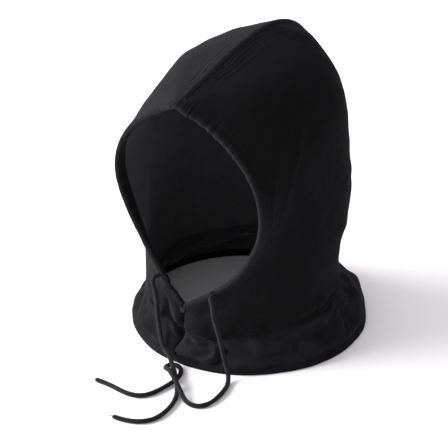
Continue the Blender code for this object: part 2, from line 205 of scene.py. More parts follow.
def bend(points, count=24):
    points = np.asarray(points, float) * MM
    k = np.r_[0, np.cumsum(np.linalg.norm(np.diff(points, axis=0), axis=1))]
    return spline(k / k[-1], points, np.linspace(0, 1, count)) if len(points) > 2 else even(points, count)


# side (+1 wearer's left, -1 right), route with x counted outwards, height in mm, half width in mm
CREASES = [
    (1, [(84, -18, 306), (97, -42, 268), (101, -62, 238), (101, -75, 205), (100, -80, 178)], 1.5, 4),
    (1, [(93, -76, 262), (99, -92, 228), (101, -97, 200), (98, -95, 170)], 1.3, 3.2),
    (1, [(60, 95, 96), (92, 70, 118), (108, 38, 138), (113, 0, 150)], 2.8, 9),
    (1, [(85, 74, 74), (104, 48, 92), (112, 20, 104), (113, -20, 110)], 2.4, 8),
    (1, [(50, 108, 150), (80, 88, 170), (100, 56, 180)], 2.2, 9),
    (1, [(96, -62, 90), (84, -86, 104), (74, -98, 122)], 1.6, 7),
    (1, [(60, -104, 72), (74, -93, 88), (92, -72, 128)], -1.5, 7),
    (1, [(12, -122, 62), (26, -119, 66), (44, -112, 74), (60, -104, 88)], -1.8, 5),
    (1, [(107, 15, 64), (110, -2, 57), (108, -27, 55), (99, -57, 55)], -2.6, 5),
    (1, [(109, 24, 72), (111, -6, 66), (108, -36, 63), (96, -66, 64)], 2.2, 6),
    (-1, [(90, 74, 78), (106, 44, 100), (112, 8, 118), (110, -30, 128)], 3.0, 9),
    (-1, [(96, -60, 96), (88, -80, 120), (86, -92, 150)], 2.2, 8),
    (-1, [(80, 0, 306), (95, -30, 270), (101, -55, 235), (102, -66, 200)], 2.4, 7),
    (-1, [(50, 108, 160), (84, 86, 186), (102, 50, 200)], 2.4, 9),
    (1, [(14, 108, 76), (48, 102, 88), (80, 82, 84)], 2.6, 8),
    (-1, [(12, 108, 84), (44, 104, 96), (78, 84, 90), (96, 62, 80)], 2.8, 8),
    (1, [(20, 118, 240), (60, 104, 226), (92, 66, 228)], 1.6, 10),
    (-1, [(18, 120, 226), (56, 106, 216), (90, 70, 222)], 1.8, 10),
    (-1, [(102, 20, 236), (108, 0, 200), (112, -24, 160)], 2.4, 7),
    (-1, [(40, 114, 280), (70, 96, 262), (92, 60, 262), (101, 20, 268)], 2.6, 8),
    (-1, [(30, 116, 130), (66, 98, 142), (96, 62, 132), (108, 30, 138)], 2.8, 8),
    (1, [(42, 112, 286), (74, 90, 268), (96, 52, 262)], 2.2, 8),
    (1, [(24, 117, 196), (60, 106, 184), (90, 76, 196), (106, 40, 196)], 2.2, 8),
    (1, [(20, 110, 120), (56, 104, 124), (86, 80, 118)], 2.6, 8),
]
CREASE_LINES = [(side, bend(p), h * MM, w * MM) for side, p, h, w in CREASES]
S_FINE = np.linspace(0, 1, 90)
CROWN_LINE = crown_at(S_FINE)
EDGE_LINE = face_at(np.linspace(STATION[1], 1, 90))
NECK_LINE = np.array([row_line(0.0)[0][i] for i in range(0, 179, 4)])


def waves(p, scale, seed):
    """Smooth, repeatable unevenness between -1 and 1."""
    r = np.random.default_rng(seed)
    total = np.zeros(len(p))
    for _ in range(7):
        k = r.normal(size=3)
        k *= 2 * pi / (scale * r.uniform(0.7, 1.6)) / np.linalg.norm(k)
        total += np.sin(p @ k + r.uniform(0, 2 * pi))
    return total / 4.0


def relief(p, side):
    """How far the cloth stands off its pattern surface at p (x counted outwards), in metres."""
    shape = p.shape[:-1]
    p = p.reshape(-1, 3)
    q = p * [side, 1, 1]
    behind = np.clip((p[:, 1] - (10 if side > 0 else -40) * MM) / (50 * MM), 0, 1)
    h = (0.9 + 0.9 * behind) * MM * waves(q, 85 * MM, 3) + (0.35 + 0.35 * behind) * MM * waves(q, 32 * MM, 5)
    for s, line, height, width in CREASE_LINES:
        if s == side and width >= 6 * MM:
            d, at, total = to_line(p, line)
            fade = np.clip(np.minimum(at, total - at) / (0.25 * total), 0.15, 1)
            h += height * fade * (np.exp(-(d / width) ** 2) - 0.45 * np.exp(-(d / (2.2 * width)) ** 2))
    # cloth rolls out just above the neck seam and tucks in at it
    neck_z = np.interp(p[:, 1], NECK_LINE[::-1, 1], NECK_LINE[::-1, 2])
    up = p[:, 2] - neck_z
    front = np.clip((-p[:, 1] - 40 * MM) / (60 * MM), 0, 1)
    h += (2.0 + 2.6 * front) * MM * np.exp(-((up - 8 * MM) / (7 * MM)) ** 2)
    h += 0.7 * MM * np.exp(-(up / (26 * MM)) ** 2) * waves(q, 24 * MM, 11)
    # slack cloth stands in soft upright folds above the neck seam, behind the face
    h += 2.3 * MM * behind * np.exp(-(up / (48 * MM)) ** 2) * waves(q * [1, 1, 0.28], 30 * MM, 13)
    # keep both halves level with each other on the centre line
    level = np.clip(p[:, 0] / (7 * MM), 0, 1)
    level = level * level * (3 - 2 * level)
    own = h
    h = own * (0.15 + 0.85 * level)
    return h.reshape(shape)


# ridges (+) and creases (-) round the neck and on the cape: route in mm, height in mm, half width in mm,
# and which cloth takes it (c cape, h hood, b both)
FOLDS = [
    ([(36, -123, 34), (46, -119, 35), (69, -108, 34), (90, -90, 34), (103, -70, 36)], 4.2, 6.5, 'c'),
    ([(105, -53, 43), (112, -32, 45), (118, -10, 44), (112, 12, 49), (101, 33, 54)], 4.0, 5.5, 'c'),
    ([(54, -122, 19), (81, -106, 20), (108, -77, 20)], -3.6, 7.0, 'c'),
    ([(110, -57, 33), (120, -37, 33), (127, -14, 29)], -4.0, 5.5, 'c'),
    ([(119, -43, 34), (126, -41, 21), (130, -38, 11)], 3.4, 3.6, 'c'),
    ([(125, -13, 35), (130, -15, 23), (133, -18, 13)], 3.2, 3.6, 'c'),
    ([(112, -53, 37), (114, -61, 29), (116, -65, 19)], -2.8, 3.5, 'c'),
    ([(112, 43, 44), (116, 27, 43), (119, 12, 42)], 2.8, 3.4, 'c'),
    ([(126, 21, 31), (131, 18, 21), (134, 10, 13)], 2.8, 3.4, 'c'),
    ([(119, 5, 42), (126, 9, 32), (127, 20, 29)], 2.2, 2.8, 'c'),
    ([(105, 28, 52), (115, 10, 46), (122, -4, 38)], -3.2, 3.4, 'c'),
    ([(5, -124, 44), (18, -120, 52), (30, -116, 49), (40, -118, 43)], 5.2, 6.0, 'h'),
    ([(6, -129, 33), (23, -127, 33), (40, -121, 33)], -4.8, 4.2, 'c'),
    ([(-13, -135, 15), (9, -134, 19), (29, -130, 22)], 4.6, 6.0, 'c'),
    ([(40, -123, 34), (46, -124, 27), (45, -127, 19), (27, -133, 12)], 4.4, 3.8, 'c'),
    ([(50, -118, 34), (56, -120, 26), (54, -124, 15), (40, -130, 6)], -4.6, 3.6, 'c'),
    ([(0, -123, 60), (-1, -124, 46), (0, -130, 32), (1, -133, 26)], -5.2, 4.6, 'b'),
    ([(-27, -114, 84), (-19, -119, 72), (-13, -122, 60)], 3.6, 3.4, 'h'),
    ([(-30, -118, 68), (-21, -119, 51), (-8, -125, 38)], -4.4, 3.4, 'b'),
    ([(-34, -115, 50), (-18, -123, 42), (-5, -129, 33)], 3.8, 4.0, 'b'),
    ([(-12, -121, 70), (-7, -121, 54)], 2.6, 3.2, 'h'),
    ([(-24, -129, 26), (-11, -131, 29), (-2, -132, 28)], -2.8, 3.6, 'c'),
    ([(-46, -108, 78), (-40, -114, 58), (-26, -122, 44)], 2.6, 5.0, 'h'),
    ([(-60, -100, 76), (-62, -102, 60), (-52, -110, 46)], -2.6, 4.6, 'b'),
    ([(-70, -96, 48), (-54, -112, 40), (-34, -124, 34)], 3.4, 6.0, 'c'),
    ([(-84, -92, 34), (-62, -112, 24), (-36, -127, 18)], -3.0, 6.0, 'c'),
    ([(-96, 66, 52), (-112, 30, 46), (-118, -14, 44), (-104, -58, 42), (-86, -84, 42)], 3.4, 6.0, 'c'),
    ([(-108, 58, 34), (-124, 22, 30), (-127, -20, 28), (-116, -56, 26)], -3.0, 6.5, 'c'),
    ([(60, 104, 46), (20, 118, 46), (-24, 117, 46), (-66, 100, 46)], 3.2, 6.5, 'c'),
    ([(70, 108, 30), (24, 126, 28), (-28, 126, 28), (-74, 106, 30)], -2.8, 6.5, 'c'),
]
FOLD_LINES = [(bend(p, 20), h * MM, w * MM, on) for p, h, w, on in FOLDS]
FOLD_BOXES = [(l.min(0) - 3 * w, l.max(0) + 3 * w) for l, h, w, on in FOLD_LINES]


def folds(q, part):
    """Height of the neck folds at true places q, in metres."""
    shape = q.shape[:-1]
    q = q.reshape(-1, 3)
    h = np.zeros(len(q))
    for (line, height, width, on), (lo, hi) in zip(FOLD_LINES, FOLD_BOXES):
        k = ((q > lo) & (q < hi)).all(1)
        if on in (part, "b") and k.any():
            d, at, total = to_line(q[k], line)
            fade = np.clip(0.35 + np.minimum(at, total - at) / (0.3 * total), 0, 1)
            h[k] += height * fade * np.exp(-(d / width) ** 2)
    return h.reshape(shape)


def narrow_creases(p, side):
    """Creases too narrow for the simulated net (x counted outwards)."""
    q = p.reshape(-1, 3)
    h = np.zeros(len(q))
    for s, line, height, width in CREASE_LINES:
        if s == side and width < 6 * MM:
            lo, hi = line.min(0) - 3 * width, line.max(0) + 3 * width
            k = ((q > lo) & (q < hi)).all(1)
            if k.any():
                d, at, total = to_line(q[k], line)
                fade = np.clip(np.minimum(at, total - at) / (0.25 * total), 0.1, 1)
                h[k] += height * fade * np.exp(-(d / width) ** 2)
    return h.reshape(p.shape[:-1])


def slouch(q):
    """The hood's front hem sags over the cape beside the chin."""
    w = np.exp(-(((q - np.array([24, -121, 42]) * MM) / (np.array([20, 30, 15]) * MM)) ** 2).sum(-1))
    return w[..., None] * np.array([1.0, -4.5, -6.5]) * MM


# ------------------------------------------------------------------ mesh helpers
def new_object(name, verts, faces, uvs=None, smooth=True):
    me = bpy.data.meshes.new(name)
    me.from_pydata([tuple(v) for v in verts], [], [tuple(int(i) for i in f) for f in faces])
    me.validate()
    if uvs is not None:
        layer = me.uv_layers.new(name="weave")
        idx = np.empty(len(me.loops), dtype=np.int64)
        me.loops.foreach_get("vertex_index", idx)
        layer.data.foreach_set("uv", np.asarray(uvs, dtype=np.float32)[idx].ravel())
    if smooth:
        me.shade_smooth()
    ob = bpy.data.objects.new(name, me)
    scene.collection.objects.link(ob)
    return ob


def face_out(verts, faces):
    """Wind a closed mesh's faces outwards."""
    v = np.asarray(verts)
    vol = 0.0
    for f in faces:
        a = v[f[0]]
        for i in range(1, len(f) - 1):
            vol += a @ np.cross(v[f[i]], v[f[i + 1]])
    return [f[::-1] for f in faces] if vol < 0 else faces


def cloth(name, outer, inner, closed=False, uv=None):
    """A closed sheet between two grids of the same size; closed joins the last column to the first."""
    n, m = outer.shape[:2]
    a = np.arange(n * m).reshape(n, m)
    b = a + n * m
    cols = np.arange(m)
    nxt = (cols + 1) % m if closed else cols[:-1] + 1
    cur = cols if closed else cols[:-1]
    f = []
    for i in range(n - 1):
        f += [(a[i, j], a[i, k], a[i + 1, k], a[i + 1, j]) for j, k in zip(cur, nxt)]
        f += [(b[i, j], b[i + 1, j], b[i + 1, k], b[i, k]) for j, k in zip(cur, nxt)]
    for i in (0, n - 1):
        for j, k in zip(cur, nxt):
            q = (a[i, j], b[i, j], b[i, k], a[i, k])
            f.append(q if i == 0 else q[::-1])
    if not closed:
        for j in (0, m - 1):
            for i in range(n - 1):
                q = (a[i, j], a[i + 1, j], b[i + 1, j], b[i, j])
                f.append(q if j == 0 else q[::-1])
    v = np.vstack([outer.reshape(-1, 3), inner.reshape(-1, 3)])
    f = face_out(v, f)
    if uv is None:
        du = np.concatenate([np.zeros((n, 1)), np.linalg.norm(np.diff(outer, axis=1), axis=2).cumsum(1)], 1)
        dv = np.concatenate([np.zeros((1, m)), np.linalg.norm(np.diff(outer, axis=0), axis=2).cumsum(0)], 0)
        uv = np.stack([du, dv.mean(1, keepdims=True) + 0 * dv], 2).reshape(-1, 2)
    uv = np.vstack([uv, uv + [0.013, 0.007]])
    return new_object(name, v, f, uv)


def tube(name, rings, uv=None, caps=True):
    """A closed skin through rings of points (n, k, 3), with a rounded fan at each end."""
    n, k = rings.shape[:2]
    v = rings.reshape(-1, 3)
    f = []
    for i in range(n - 1):
        f += [(i * k + j, i * k + (j + 1) % k, (i + 1) * k + (j + 1) % k, (i + 1) * k + j) for j in range(k)]
    if caps:
        v = np.vstack([v, rings[0].mean(0), rings[-1].mean(0)])
        f += [(n * k, (j + 1) % k, j) for j in range(k)]
        f += [(n * k + 1, (n - 1) * k + j, (n - 1) * k + (j + 1) % k) for j in range(k)]
    f = face_out(v, f)
    if uv is not None:
        uv = np.vstack([uv, uv[:1], uv[-1:]]) if caps else uv
    return new_object(name, v, f, uv)


def frames(p):
    """Tangents and a steady pair of side vectors along a line."""
    t = np.gradient(p, axis=0)
    t /= np.linalg.norm(t, axis=1)[:, None]
    u = np.zeros_like(p)
    a = np.array([0, 0, 1.0]) if abs(t[0, 2]) < 0.9 else np.array([1.0, 0, 0])
    u[0] = np.cross(t[0], a)
    u[0] /= np.linalg.norm(u[0])
    for i in range(1, len(p)):
        w = u[i - 1] - t[i] * (u[i - 1] @ t[i])
        u[i] = w / np.linalg.norm(w)
    return t, u, np.cross(t, u)


def pipe_rings(p, radius, sides, bump=None):
    t, u, w = frames(p)
    a = np.arange(sides) * 2 * pi / sides
    r = np.broadcast_to(np.asarray(radius, float).reshape(-1, 1), (len(p), sides)).copy()
    if bump is not None:
        r += bump
    ring = np.cos(a)[None, :, None] * u[:, None] + np.sin(a)[None, :, None] * w[:, None]
    return p[:, None] + ring * r[:, :, None]


def join_meshes(name, parts):
    """One mesh from (verts, faces) pieces."""
    vs, fs, n = [], [], 0
    for v, f in parts:
        vs.append(v)
        fs += [tuple(i + n for i in q) for q in f]
        n += len(v)
    return new_object(name, np.vstack(vs), fs)


def stitch_shape(a, b, up, radius):
    """One stitch of thread: a short rounded arch from a to b that lifts along up."""
    d = b - a
    ln = np.linalg.norm(d)
    d = d / ln
    side = np.cross(d, up)
    side /= np.linalg.norm(side)
    rise = np.cross(side, d)
    v, f = [], []
    n, k = 5, 6
    for i in range(n):
        x = i / (n - 1)
        c = a + d * ln * x + rise * radius * (1.3 * sin(pi * x) - 0.5)
        r = radius * (0.45 + 0.55 * sin(pi * x) ** 0.6) if 0 < i < n - 1 else radius * 0.35
        for j in range(k):
            t = 2 * pi * j / k
            v.append(c + r * (cos(t) * side + sin(t) * rise))
    for i in range(n - 1):
        for j in range(k):
            q = (i * k + j, i * k + (j + 1) % k, (i + 1) * k + (j + 1) % k, (i + 1) * k + j)
            f.append(q)
    f.append(tuple(range(k))[::-1])
    f.append(tuple((n - 1) * k + j for j in range(k)))
    return np.array(v), face_out(v, f)


def stitch_row(line, ups, pitch=3.3 * MM, length=2.5 * MM, radius=0.3 * MM):
    d = run_of(line)
    out = []
    x = pitch * 0.5
    while x + length < d[-1]:
        a = np.array([np.interp(x, d, line[:, i]) for i in range(3)])
        b = np.array([np.interp(x + length, d, line[:, i]) for i in range(3)])
        up = np.array([np.interp(x + length / 2, d, ups[:, i]) for i in range(3)])
        out.append(stitch_shape(a, b, up, radius))
        x += pitch
    return out


# ------------------------------------------------------------------ materials
def cloth_material(name, dark, light, kind, sheen=0.35, bump=0.35, rough=0.92, spec=0.06):
    """Woven, brushed or braided textile with colour variation, fine relief and a soft sheen."""
    m = bpy.data.materials.new(name)
    m.use_nodes = True
    nt = m.node_tree
    bsdf = nt.nodes["Principled BSDF"]
    bsdf.inputs["Roughness"].default_value = rough
    bsdf.inputs["Specular IOR Level"].default_value = spec
    bsdf.inputs["Sheen Weight"].default_value = sheen
    bsdf.inputs["Sheen Roughness"].default_value = 0.45
    bsdf.inputs["Sheen Tint"].default_value = (0.82, 0.84, 0.95, 1)
    obj = nt.nodes.new("ShaderNodeTexCoord")
    uv = nt.nodes.new("ShaderNodeUVMap")
    uv.uv_map = "weave"
    big = nt.nodes.new("ShaderNodeTexNoise")
    big.inputs["Scale"].default_value = 110
    big.inputs["Detail"].default_value = 8
    big.inputs["Roughness"].default_value = 0.62
    nt.links.new(obj.outputs["Object"], big.inputs["Vector"])
    fine = nt.nodes.new("ShaderNodeTexNoise")
    fine.inputs["Scale"].default_value = 900
    fine.inputs["Detail"].default_value = 4
    nt.links.new(obj.outputs["Object"], fine.inputs["Vector"])
    mix = nt.nodes.new("ShaderNodeMath")
    mix.operation = 'MULTIPLY_ADD'
    mix.inputs[1].default_value = 0.45
    nt.links.new(fine.outputs["Fac"], mix.inputs[0])
    half = nt.nodes.new("ShaderNodeMath")
    half.operation = 'MULTIPLY'
    half.inputs[1].default_value = 0.55
    nt.links.new(big.outputs["Fac"], half.inputs[0])
    nt.links.new(half.outputs[0], mix.inputs[2])
    ramp = nt.nodes.new("ShaderNodeValToRGB")
    ramp.color_ramp.elements[0].position = 0.36
    ramp.color_ramp.elements[0].color = (*dark, 1)
    ramp.color_ramp.elements[1].position = 0.66
    ramp.color_ramp.elements[1].color = (*light, 1)
    nt.links.new(mix.outputs[0], ramp.inputs[0])
    nt.links.new(ramp.outputs[0], bsdf.inputs["Base Color"])
    # the weave itself
    if kind == "knit":        # fine rows of loops
        wa = nt.nodes.new("ShaderNodeTexWave")
        wa.wave_type, wa.bands_direction, wa.wave_profile = 'BANDS', 'X', 'SIN'
        wa.inputs["Scale"].default_value = 330
        wa.inputs["Distortion"].default_value = 2.2
        wa.inputs["Detail"].default_value = 2
        wa.inputs["Detail Scale"].default_value = 3
        wb = nt.nodes.new("ShaderNodeTexWave")
        wb.wave_type, wb.bands_direction, wb.wave_profile = 'BANDS', 'Y', 'SIN'
        wb.inputs["Scale"].default_value = 420
        wb.inputs["Distortion"].default_value = 3.0
        wb.inputs["Detail"].default_value = 2
        for w in (wa, wb):
            nt.links.new(uv.outputs["UV"], w.inputs["Vector"])
        join = nt.nodes.new("ShaderNodeMath")
        join.operation = 'MULTIPLY'
        nt.links.new(wa.outputs["Fac"], join.inputs[0])
        nt.links.new(wb.outputs["Fac"], join.inputs[1])
        height = join.outputs[0]
    elif kind == "twill":     # diagonal ribs
        wa = nt.nodes.new("ShaderNodeTexWave")
        wa.wave_type, wa.bands_direction, wa.wave_profile = 'BANDS', 'DIAGONAL', 'SIN'
        wa.inputs["Scale"].default_value = 260
        wa.inputs["Distortion"].default_value = 0.8
        wa.inputs["Detail"].default_value = 1.5
        nt.links.new(uv.outputs["UV"], wa.inputs["Vector"])
        height = wa.outputs["Fac"]
    elif kind == "fleece":    # brushed nap
        vo = nt.nodes.new("ShaderNodeTexNoise")
        vo.inputs["Scale"].default_value = 420
        vo.inputs["Detail"].default_value = 6
        vo.inputs["Roughness"].default_value = 0.72
        nt.links.new(obj.outputs["Object"], vo.inputs["Vector"])
        height = vo.outputs["Fac"]
    else:                     # thread: twisted ply
        wa = nt.nodes.new("ShaderNodeTexWave")
        wa.wave_type, wa.bands_direction, wa.wave_profile = 'BANDS', 'DIAGONAL', 'SIN'
        wa.inputs["Scale"].default_value = 700
        nt.links.new(obj.outputs["Object"], wa.inputs["Vector"])
        height = wa.outputs["Fac"]
    b1 = nt.nodes.new("ShaderNodeBump")
    b1.inputs["Strength"].default_value = bump
    b1.inputs["Distance"].default_value = 0.00035
    nt.links.new(height, b1.inputs["Height"])
    b2 = nt.nodes.new("ShaderNodeBump")
    b2.inputs["Strength"].default_value = 0.35
    b2.inputs["Distance"].default_value = 0.0006
    nt.links.new(fine.outputs["Fac"], b2.inputs["Height"])
    nt.links.new(b1.outputs["Normal"], b2.inputs["Normal"])
    nt.links.new(b2.outputs["Normal"], bsdf.inputs["Normal"])
    return m


BLACK_D, BLACK_L = (0.0053, 0.0053, 0.0057), (0.0076, 0.0076, 0.0083)
mat_shell = cloth_material("brushed_black_knit", BLACK_D, BLACK_L, "knit", sheen=0.030, spec=0.03)


def painted_light_knit(name, k, sheen=0.030):
    """The same black knit, k times as light: a lighter copy paints light and a darker copy paints shade on one part.
    """
    return cloth_material(name, tuple(c * k for c in BLACK_D), tuple(c * k for c in BLACK_L), "knit", sheen=sheen, spec=0.03)


# painted shade: the near (wearer's left) half takes a darker copy of the knit, where less light falls on it
mat_near_painted_shade = painted_light_knit("black_knit_left_painted_shade", 0.74, 0.024)
# painted highlight: the rolled top of the near edge takes a lighter copy of the knit, reached through a plain step
mat_rim_step = painted_light_knit("brushed_black_knit_turn", 1.0)
mat_edge_painted_highlight = painted_light_knit("black_knit_edge_painted_highlight", 1.3, 0.034)
# painted light and shade: the cape's left half takes a lighter copy of the knit, its right half a darker one
mat_cape_painted_light_and_shade = {"left": painted_light_knit("black_knit_cape_left_painted_light", 1.4, 0.036), "right": painted_light_knit("black_knit_cape_right_painted_shade", 0.78, 0.026)}
mat_lining = cloth_material("lining_fleece", (0.0340, 0.0337, 0.0363), (0.0455, 0.0450, 0.0487), "fleece", sheen=0.12)
mat_band = cloth_material("seam_tape_twill", (0.0180, 0.0180, 0.0195), (0.0300, 0.0300, 0.0325), "twill", sheen=0.05)
mat_cord = cloth_material("round_braid", (0.0062, 0.0060, 0.0067), (0.0180, 0.0172, 0.0192), "thread", sheen=0.05, bump=0.6)
mat_thread = cloth_material("sewing_thread", (0.0052, 0.0052, 0.0056), (0.0115, 0.0115, 0.0126), "thread", sheen=0.03, rough=0.75, spec=0.08)
mat_tip = cloth_material("loose_threads", (0.10, 0.10, 0.105), (0.22, 0.22, 0.23), "thread", sheen=0.05)


def finish_piece(ob, material, body="root"):
    ob.data.materials.clear()
    ob.data.materials.append(material)
    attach(ob, body)
    return ob


# ------------------------------------------------------------------ drawcord tails (first, as they set the room)
def edge_frame(s):
    """A point of the face edge, its tangent, the way back into the cloth, and outwards."""
    p = face_at(s)[0]
    t = face_at(min(1, s + 0.004))[0] - face_at(max(STATION[1], s - 0.004))[0]
    t /= np.linalg.norm(t)
    line, _ = row_line(min(s, 0.995))
    b = line[-6] - line[-1]
    b -= t * (b @ t)
    b /= np.linalg.norm(b)
    n = np.cross(t, b)
    if n @ (p - np.array([0, 0.0, 0.19])) < 0:
        n = -n
    return p, t, b, n


exit_p, exit_t = face_at(EXIT_S)[0], None
_near = face_at([0.194, 0.236])
exit_t = (_near[1] - _near[0]) / np.linalg.norm(_near[1] - _near[0])
exit_d = np.array([0.0, -0.95, -0.25])
exit_d -= exit_t * (exit_d @ exit_t)
exit_d /= np.linalg.norm(exit_d)
PIVOT_OUT = 8.25 * MM
tails = {}
for word, side, route in (("left", 1, TAIL_LEFT), ("right", -1, TAIL_RIGHT)):
    flip = np.array([side, 1, 1])
    at, d = exit_p * flip, exit_d * flip
    pts = smooth_route(np.vstack([at + d * PIVOT_OUT, at + d * (PIVOT_OUT + 2.0 * MM), route]), 1.0 * MM)
    stub = even(np.array([at + d * 0.8 * MM, at + d * PIVOT_OUT, at + d * (PIVOT_OUT + CORD_R * 0.97)]), 22)
    left = run_of(stub)[-1] - run_of(stub)
    sr = CORD_R * np.sqrt(np.clip(1 - np.clip(1 - left / CORD_R, 0, 1) ** 2, 0.02, 1))
    root = tube("cord_root_" + word, pipe_rings(stub, sr + 0.04 * MM, 20),
                np.stack([np.broadcast_to(np.arange(20)[None] * CORD_R * 0.314, (22, 20)),
                          np.broadcast_to(run_of(stub)[:, None], (22, 20))], 2).reshape(-1, 2))
    finish_piece(root, mat_cord)
    n = len(pts)
    sides = 24
    x = run_of(pts)
    th = np.arange(sides) * 2 * pi / sides
    ply = 8
    phase = x[:, None] * 2 * pi / (7.5 * MM)
    over = np.maximum(np.abs(np.sin((ply * th[None] / 2 + phase))), np.abs(np.sin((ply * th[None] / 2 - phase))))
    braid = 0.26 * MM * (over - 0.85)
    ends = np.minimum(x, x[-1] - x)
    r = CORD_R * np.sqrt(1 - np.clip(1 - ends / CORD_R, 0, 1) ** 2 * 0.93)
    r = np.where(ends < 0.2 * MM, CORD_R * 0.35, r)
    # the end on the hinge is round about it, so it turns inside the root's own round end
    early = x < 1.2 * CORD_R
    r = np.where(early, CORD_R * 0.97, r)
    uneven = 0.10 * MM * waves(pts, 14 * MM, 73)
    rings = pipe_rings(pts, r + (0.12 * MM + uneven) * (~early), sides, braid * np.clip(ends / CORD_R, 0, 1)[:, None])
    uv = np.stack([np.broadcast_to(th[None] * CORD_R, (n, sides)), np.broadcast_to(x[:, None], (n, sides))], 2)
    ob = tube("cord_tail_" + word, rings, uv.reshape(-1, 2))
    finish_piece(ob, mat_cord, "tail_" + word)
    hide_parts("drawcord_tail_" + word)
    # a few loose threads beyond the cord's end
    run = pts[-1] - pts[-4]
    run[2] = 0
    run /= np.linalg.norm(run)
    across = np.cross(run, [0, 0, 1])
    rng = np.random.default_rng(31 if side > 0 else 32)
    parts = []
    for j in range(7):
        ln = (17.5 - 1.6 * (j % 4)) * MM
        off = rng.uniform(-0.5, 0.5, 2)
        f = np.linspace(0, 1, 14)
        drift, curl = rng.uniform(-0.9, 0.9), rng.uniform(-0.6, 0.6)
        line = (pts[-1] - run * 0.8 * MM + run * ln * f[:, None]
                + across * (off[0] * (1 - f) + 0.9 * drift * f ** 2 + 0.25 * curl * np.sin(5 * f))[:, None] * MM
                + np.array([0, 0, 1.0]) * (off[1] * (1 - f) - 1.6 * f)[:, None] * MM)
        line[:, 2] = np.maximum(line[:, 2], 0.35 * MM)
        rr = pipe_rings(line, np.linspace(0.17, 0.09, 14) * MM, 6)
        k = 6
        v = np.vstack([rr.reshape(-1, 3), rr[0].mean(0), rr[-1].mean(0)])
        fs = [(i * k + q, i * k + (q + 1) % k, (i + 1) * k + (q + 1) % k, (i + 1) * k + q)
              for i in range(13) for q in range(k)]
        fs += [(14 * k, (q + 1) % k, q) for q in range(k)]
        fs += [(14 * k + 1, 13 * k + q, 13 * k + (q + 1) % k) for q in range(k)]
        parts.append((v, face_out(v, fs)))
    tip = join_meshes("thread_end_" + word, parts)
    finish_piece(tip, mat_tip, "tail_" + word)
    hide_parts("cord_end_" + word)
    tails[word] = ob

# ------------------------------------------------------------------ the slumped cloth: simulation on a coarse net
SIM_S = np.unique(np.r_[np.linspace(0, 0.12, 16), np.linspace(0.12, 0.90, 62), np.linspace(0.90, 0.985, 10)])
SIM_COLS = 61
SIM_V = np.linspace(0, 1, 15)
net_hood = panel_rows(SIM_S, SIM_COLS, 0.0)
CAPE_FOOT = 1.0 * MM


def cape_rows(neck, vs):
    """Rows of the neck cape from the neck seam (v = 0) out to its hem (v = 1)."""
    mid = (neck[0, 1] + neck[-1, 1]) / 2
    turn = np.arctan2(neck[:, 0] / (100 * MM), (neck[:, 1] - mid) / (110 * MM))
    foot = np.stack([BASE_RX * np.sin(turn), BASE_RY * np.cos(turn), 0 * turn], 1)
    g = []
    for v in vs:
        r = sin(v * pi / 2)
        p = neck * (1 - r) + foot * r
        top = neck[:, 2] - 0.6 * MM
        p[:, 2] = CAPE_FOOT + (top - CAPE_FOOT) * (1 - v ** 1.3)
        g.append(p)
    return np.array(g), turn


CAPE_FOLDS = [   # side, angle from the back (degrees), width (degrees), height (mm), lean (degrees from neck to hem)
    (1, 58, 4, 3.6, -8), (1, 46, 5, -3.0, 10), (1, 34, 5, 3.4, -6), (1, 20, 5, -2.8, 8), (1, 9, 3.5, 2.6, 4),
    (-1, 146, 4, -2.8, -8), (-1, 134, 5, 3.0, 10), (-1, 118, 5, -2.8, -12), (-1, 104, 5, 3.4, 8), (-1, 90, 4, -3.2, 6),
    (-1, 76, 5, 3.4, -10), (-1, 60, 5, -3.0, 8), (-1, 44, 5, 3.2, 8), (-1, 28, 5, -2.8, -6), (-1, 14, 4, 2.6, 4)]


def cape_waves(p, side):
    flat = (p * [side, 1, 1]).reshape(-1, 3)
    h = (0.8 * MM * waves(flat, 60 * MM, 41)).reshape(p.shape[:-1])
    level = np.clip(p[..., 0] / (9 * MM), 0, 1)
    return h * (level * level * (3 - 2 * level))


def cape_relief(p, v, turn, side):
    h = np.zeros(p.shape[:-1])
    deg = np.degrees(turn)[None]
    calm = 1 - 0.85 * np.clip(v[:, None] - 0.72, 0, 1) / 0.28
    for s, at, w, height, lean in CAPE_FOLDS:
        if s == side:
            swing = at + lean * (v[:, None] - 0.5)
            wide = w * (0.8 + 0.5 * v[:, None])
            reach = 0.2 + 0.8 * np.sin(np.clip(v[:, None] + 0.08, 0, 1) * pi)
            h += height * MM * np.exp(-((deg - swing) / wide) ** 2) * reach * calm
    flat = (p * [side, 1, 1]).reshape(-1, 3)
    h += (0.35 * MM * waves(flat, 24 * MM, 43)).reshape(h.shape) * calm
    level = np.clip(p[..., 0] / (9 * MM), 0, 1)
    tucked = np.clip(v[:, None] / 0.14, 0, 1)
    return h * (level * level * (3 - 2 * level)) + folds(p * [side, 1, 1], "c") * calm * tucked


net_cape, net_turn = cape_rows(net_hood[0], SIM_V)
net_cape[0] = net_hood[0]
start = {}
for side in (1, -1):
    hood = net_hood + grid_normals(net_hood) * relief(net_hood, side)[:, :, None]
    cape_g = net_cape + grid_normals(net_cape, centre=(0, 0, -0.02)) * cape_waves(net_cape, side)[:, :, None]
    drop = np.exp(-((np.linalg.norm(net_hood - net_hood[:1], axis=2) - 9 * MM) / (6 * MM)) ** 2)
    ahead = np.clip((-net_hood[:, :, 1] - 20 * MM) / (80 * MM), 0, 1)
    hood[:, :, 2] -= drop * (1.5 + 3.0 * ahead) * MM
    hood = hood + slouch(hood * [side, 1, 1]) * [side, 1, 1]
    cape_g = cape_g + slouch(cape_g * [side, 1, 1]) * [side, 1, 1]
    cape_g[0] = hood[0]
    start[side] = np.concatenate([cape_g[::-1][:-1], hood]) * [side, 1, 1]
rest_net = np.concatenate([net_cape[::-1][:-1], net_hood])
NR, NC = rest_net.shape[:2]
weld = rest_net[:, :, 0] < 1e-5
left_id = np.arange(NR * NC).reshape(NR, NC)
right_id = left_id.copy()
right_id[~weld] = NR * NC + np.arange((~weld).sum())
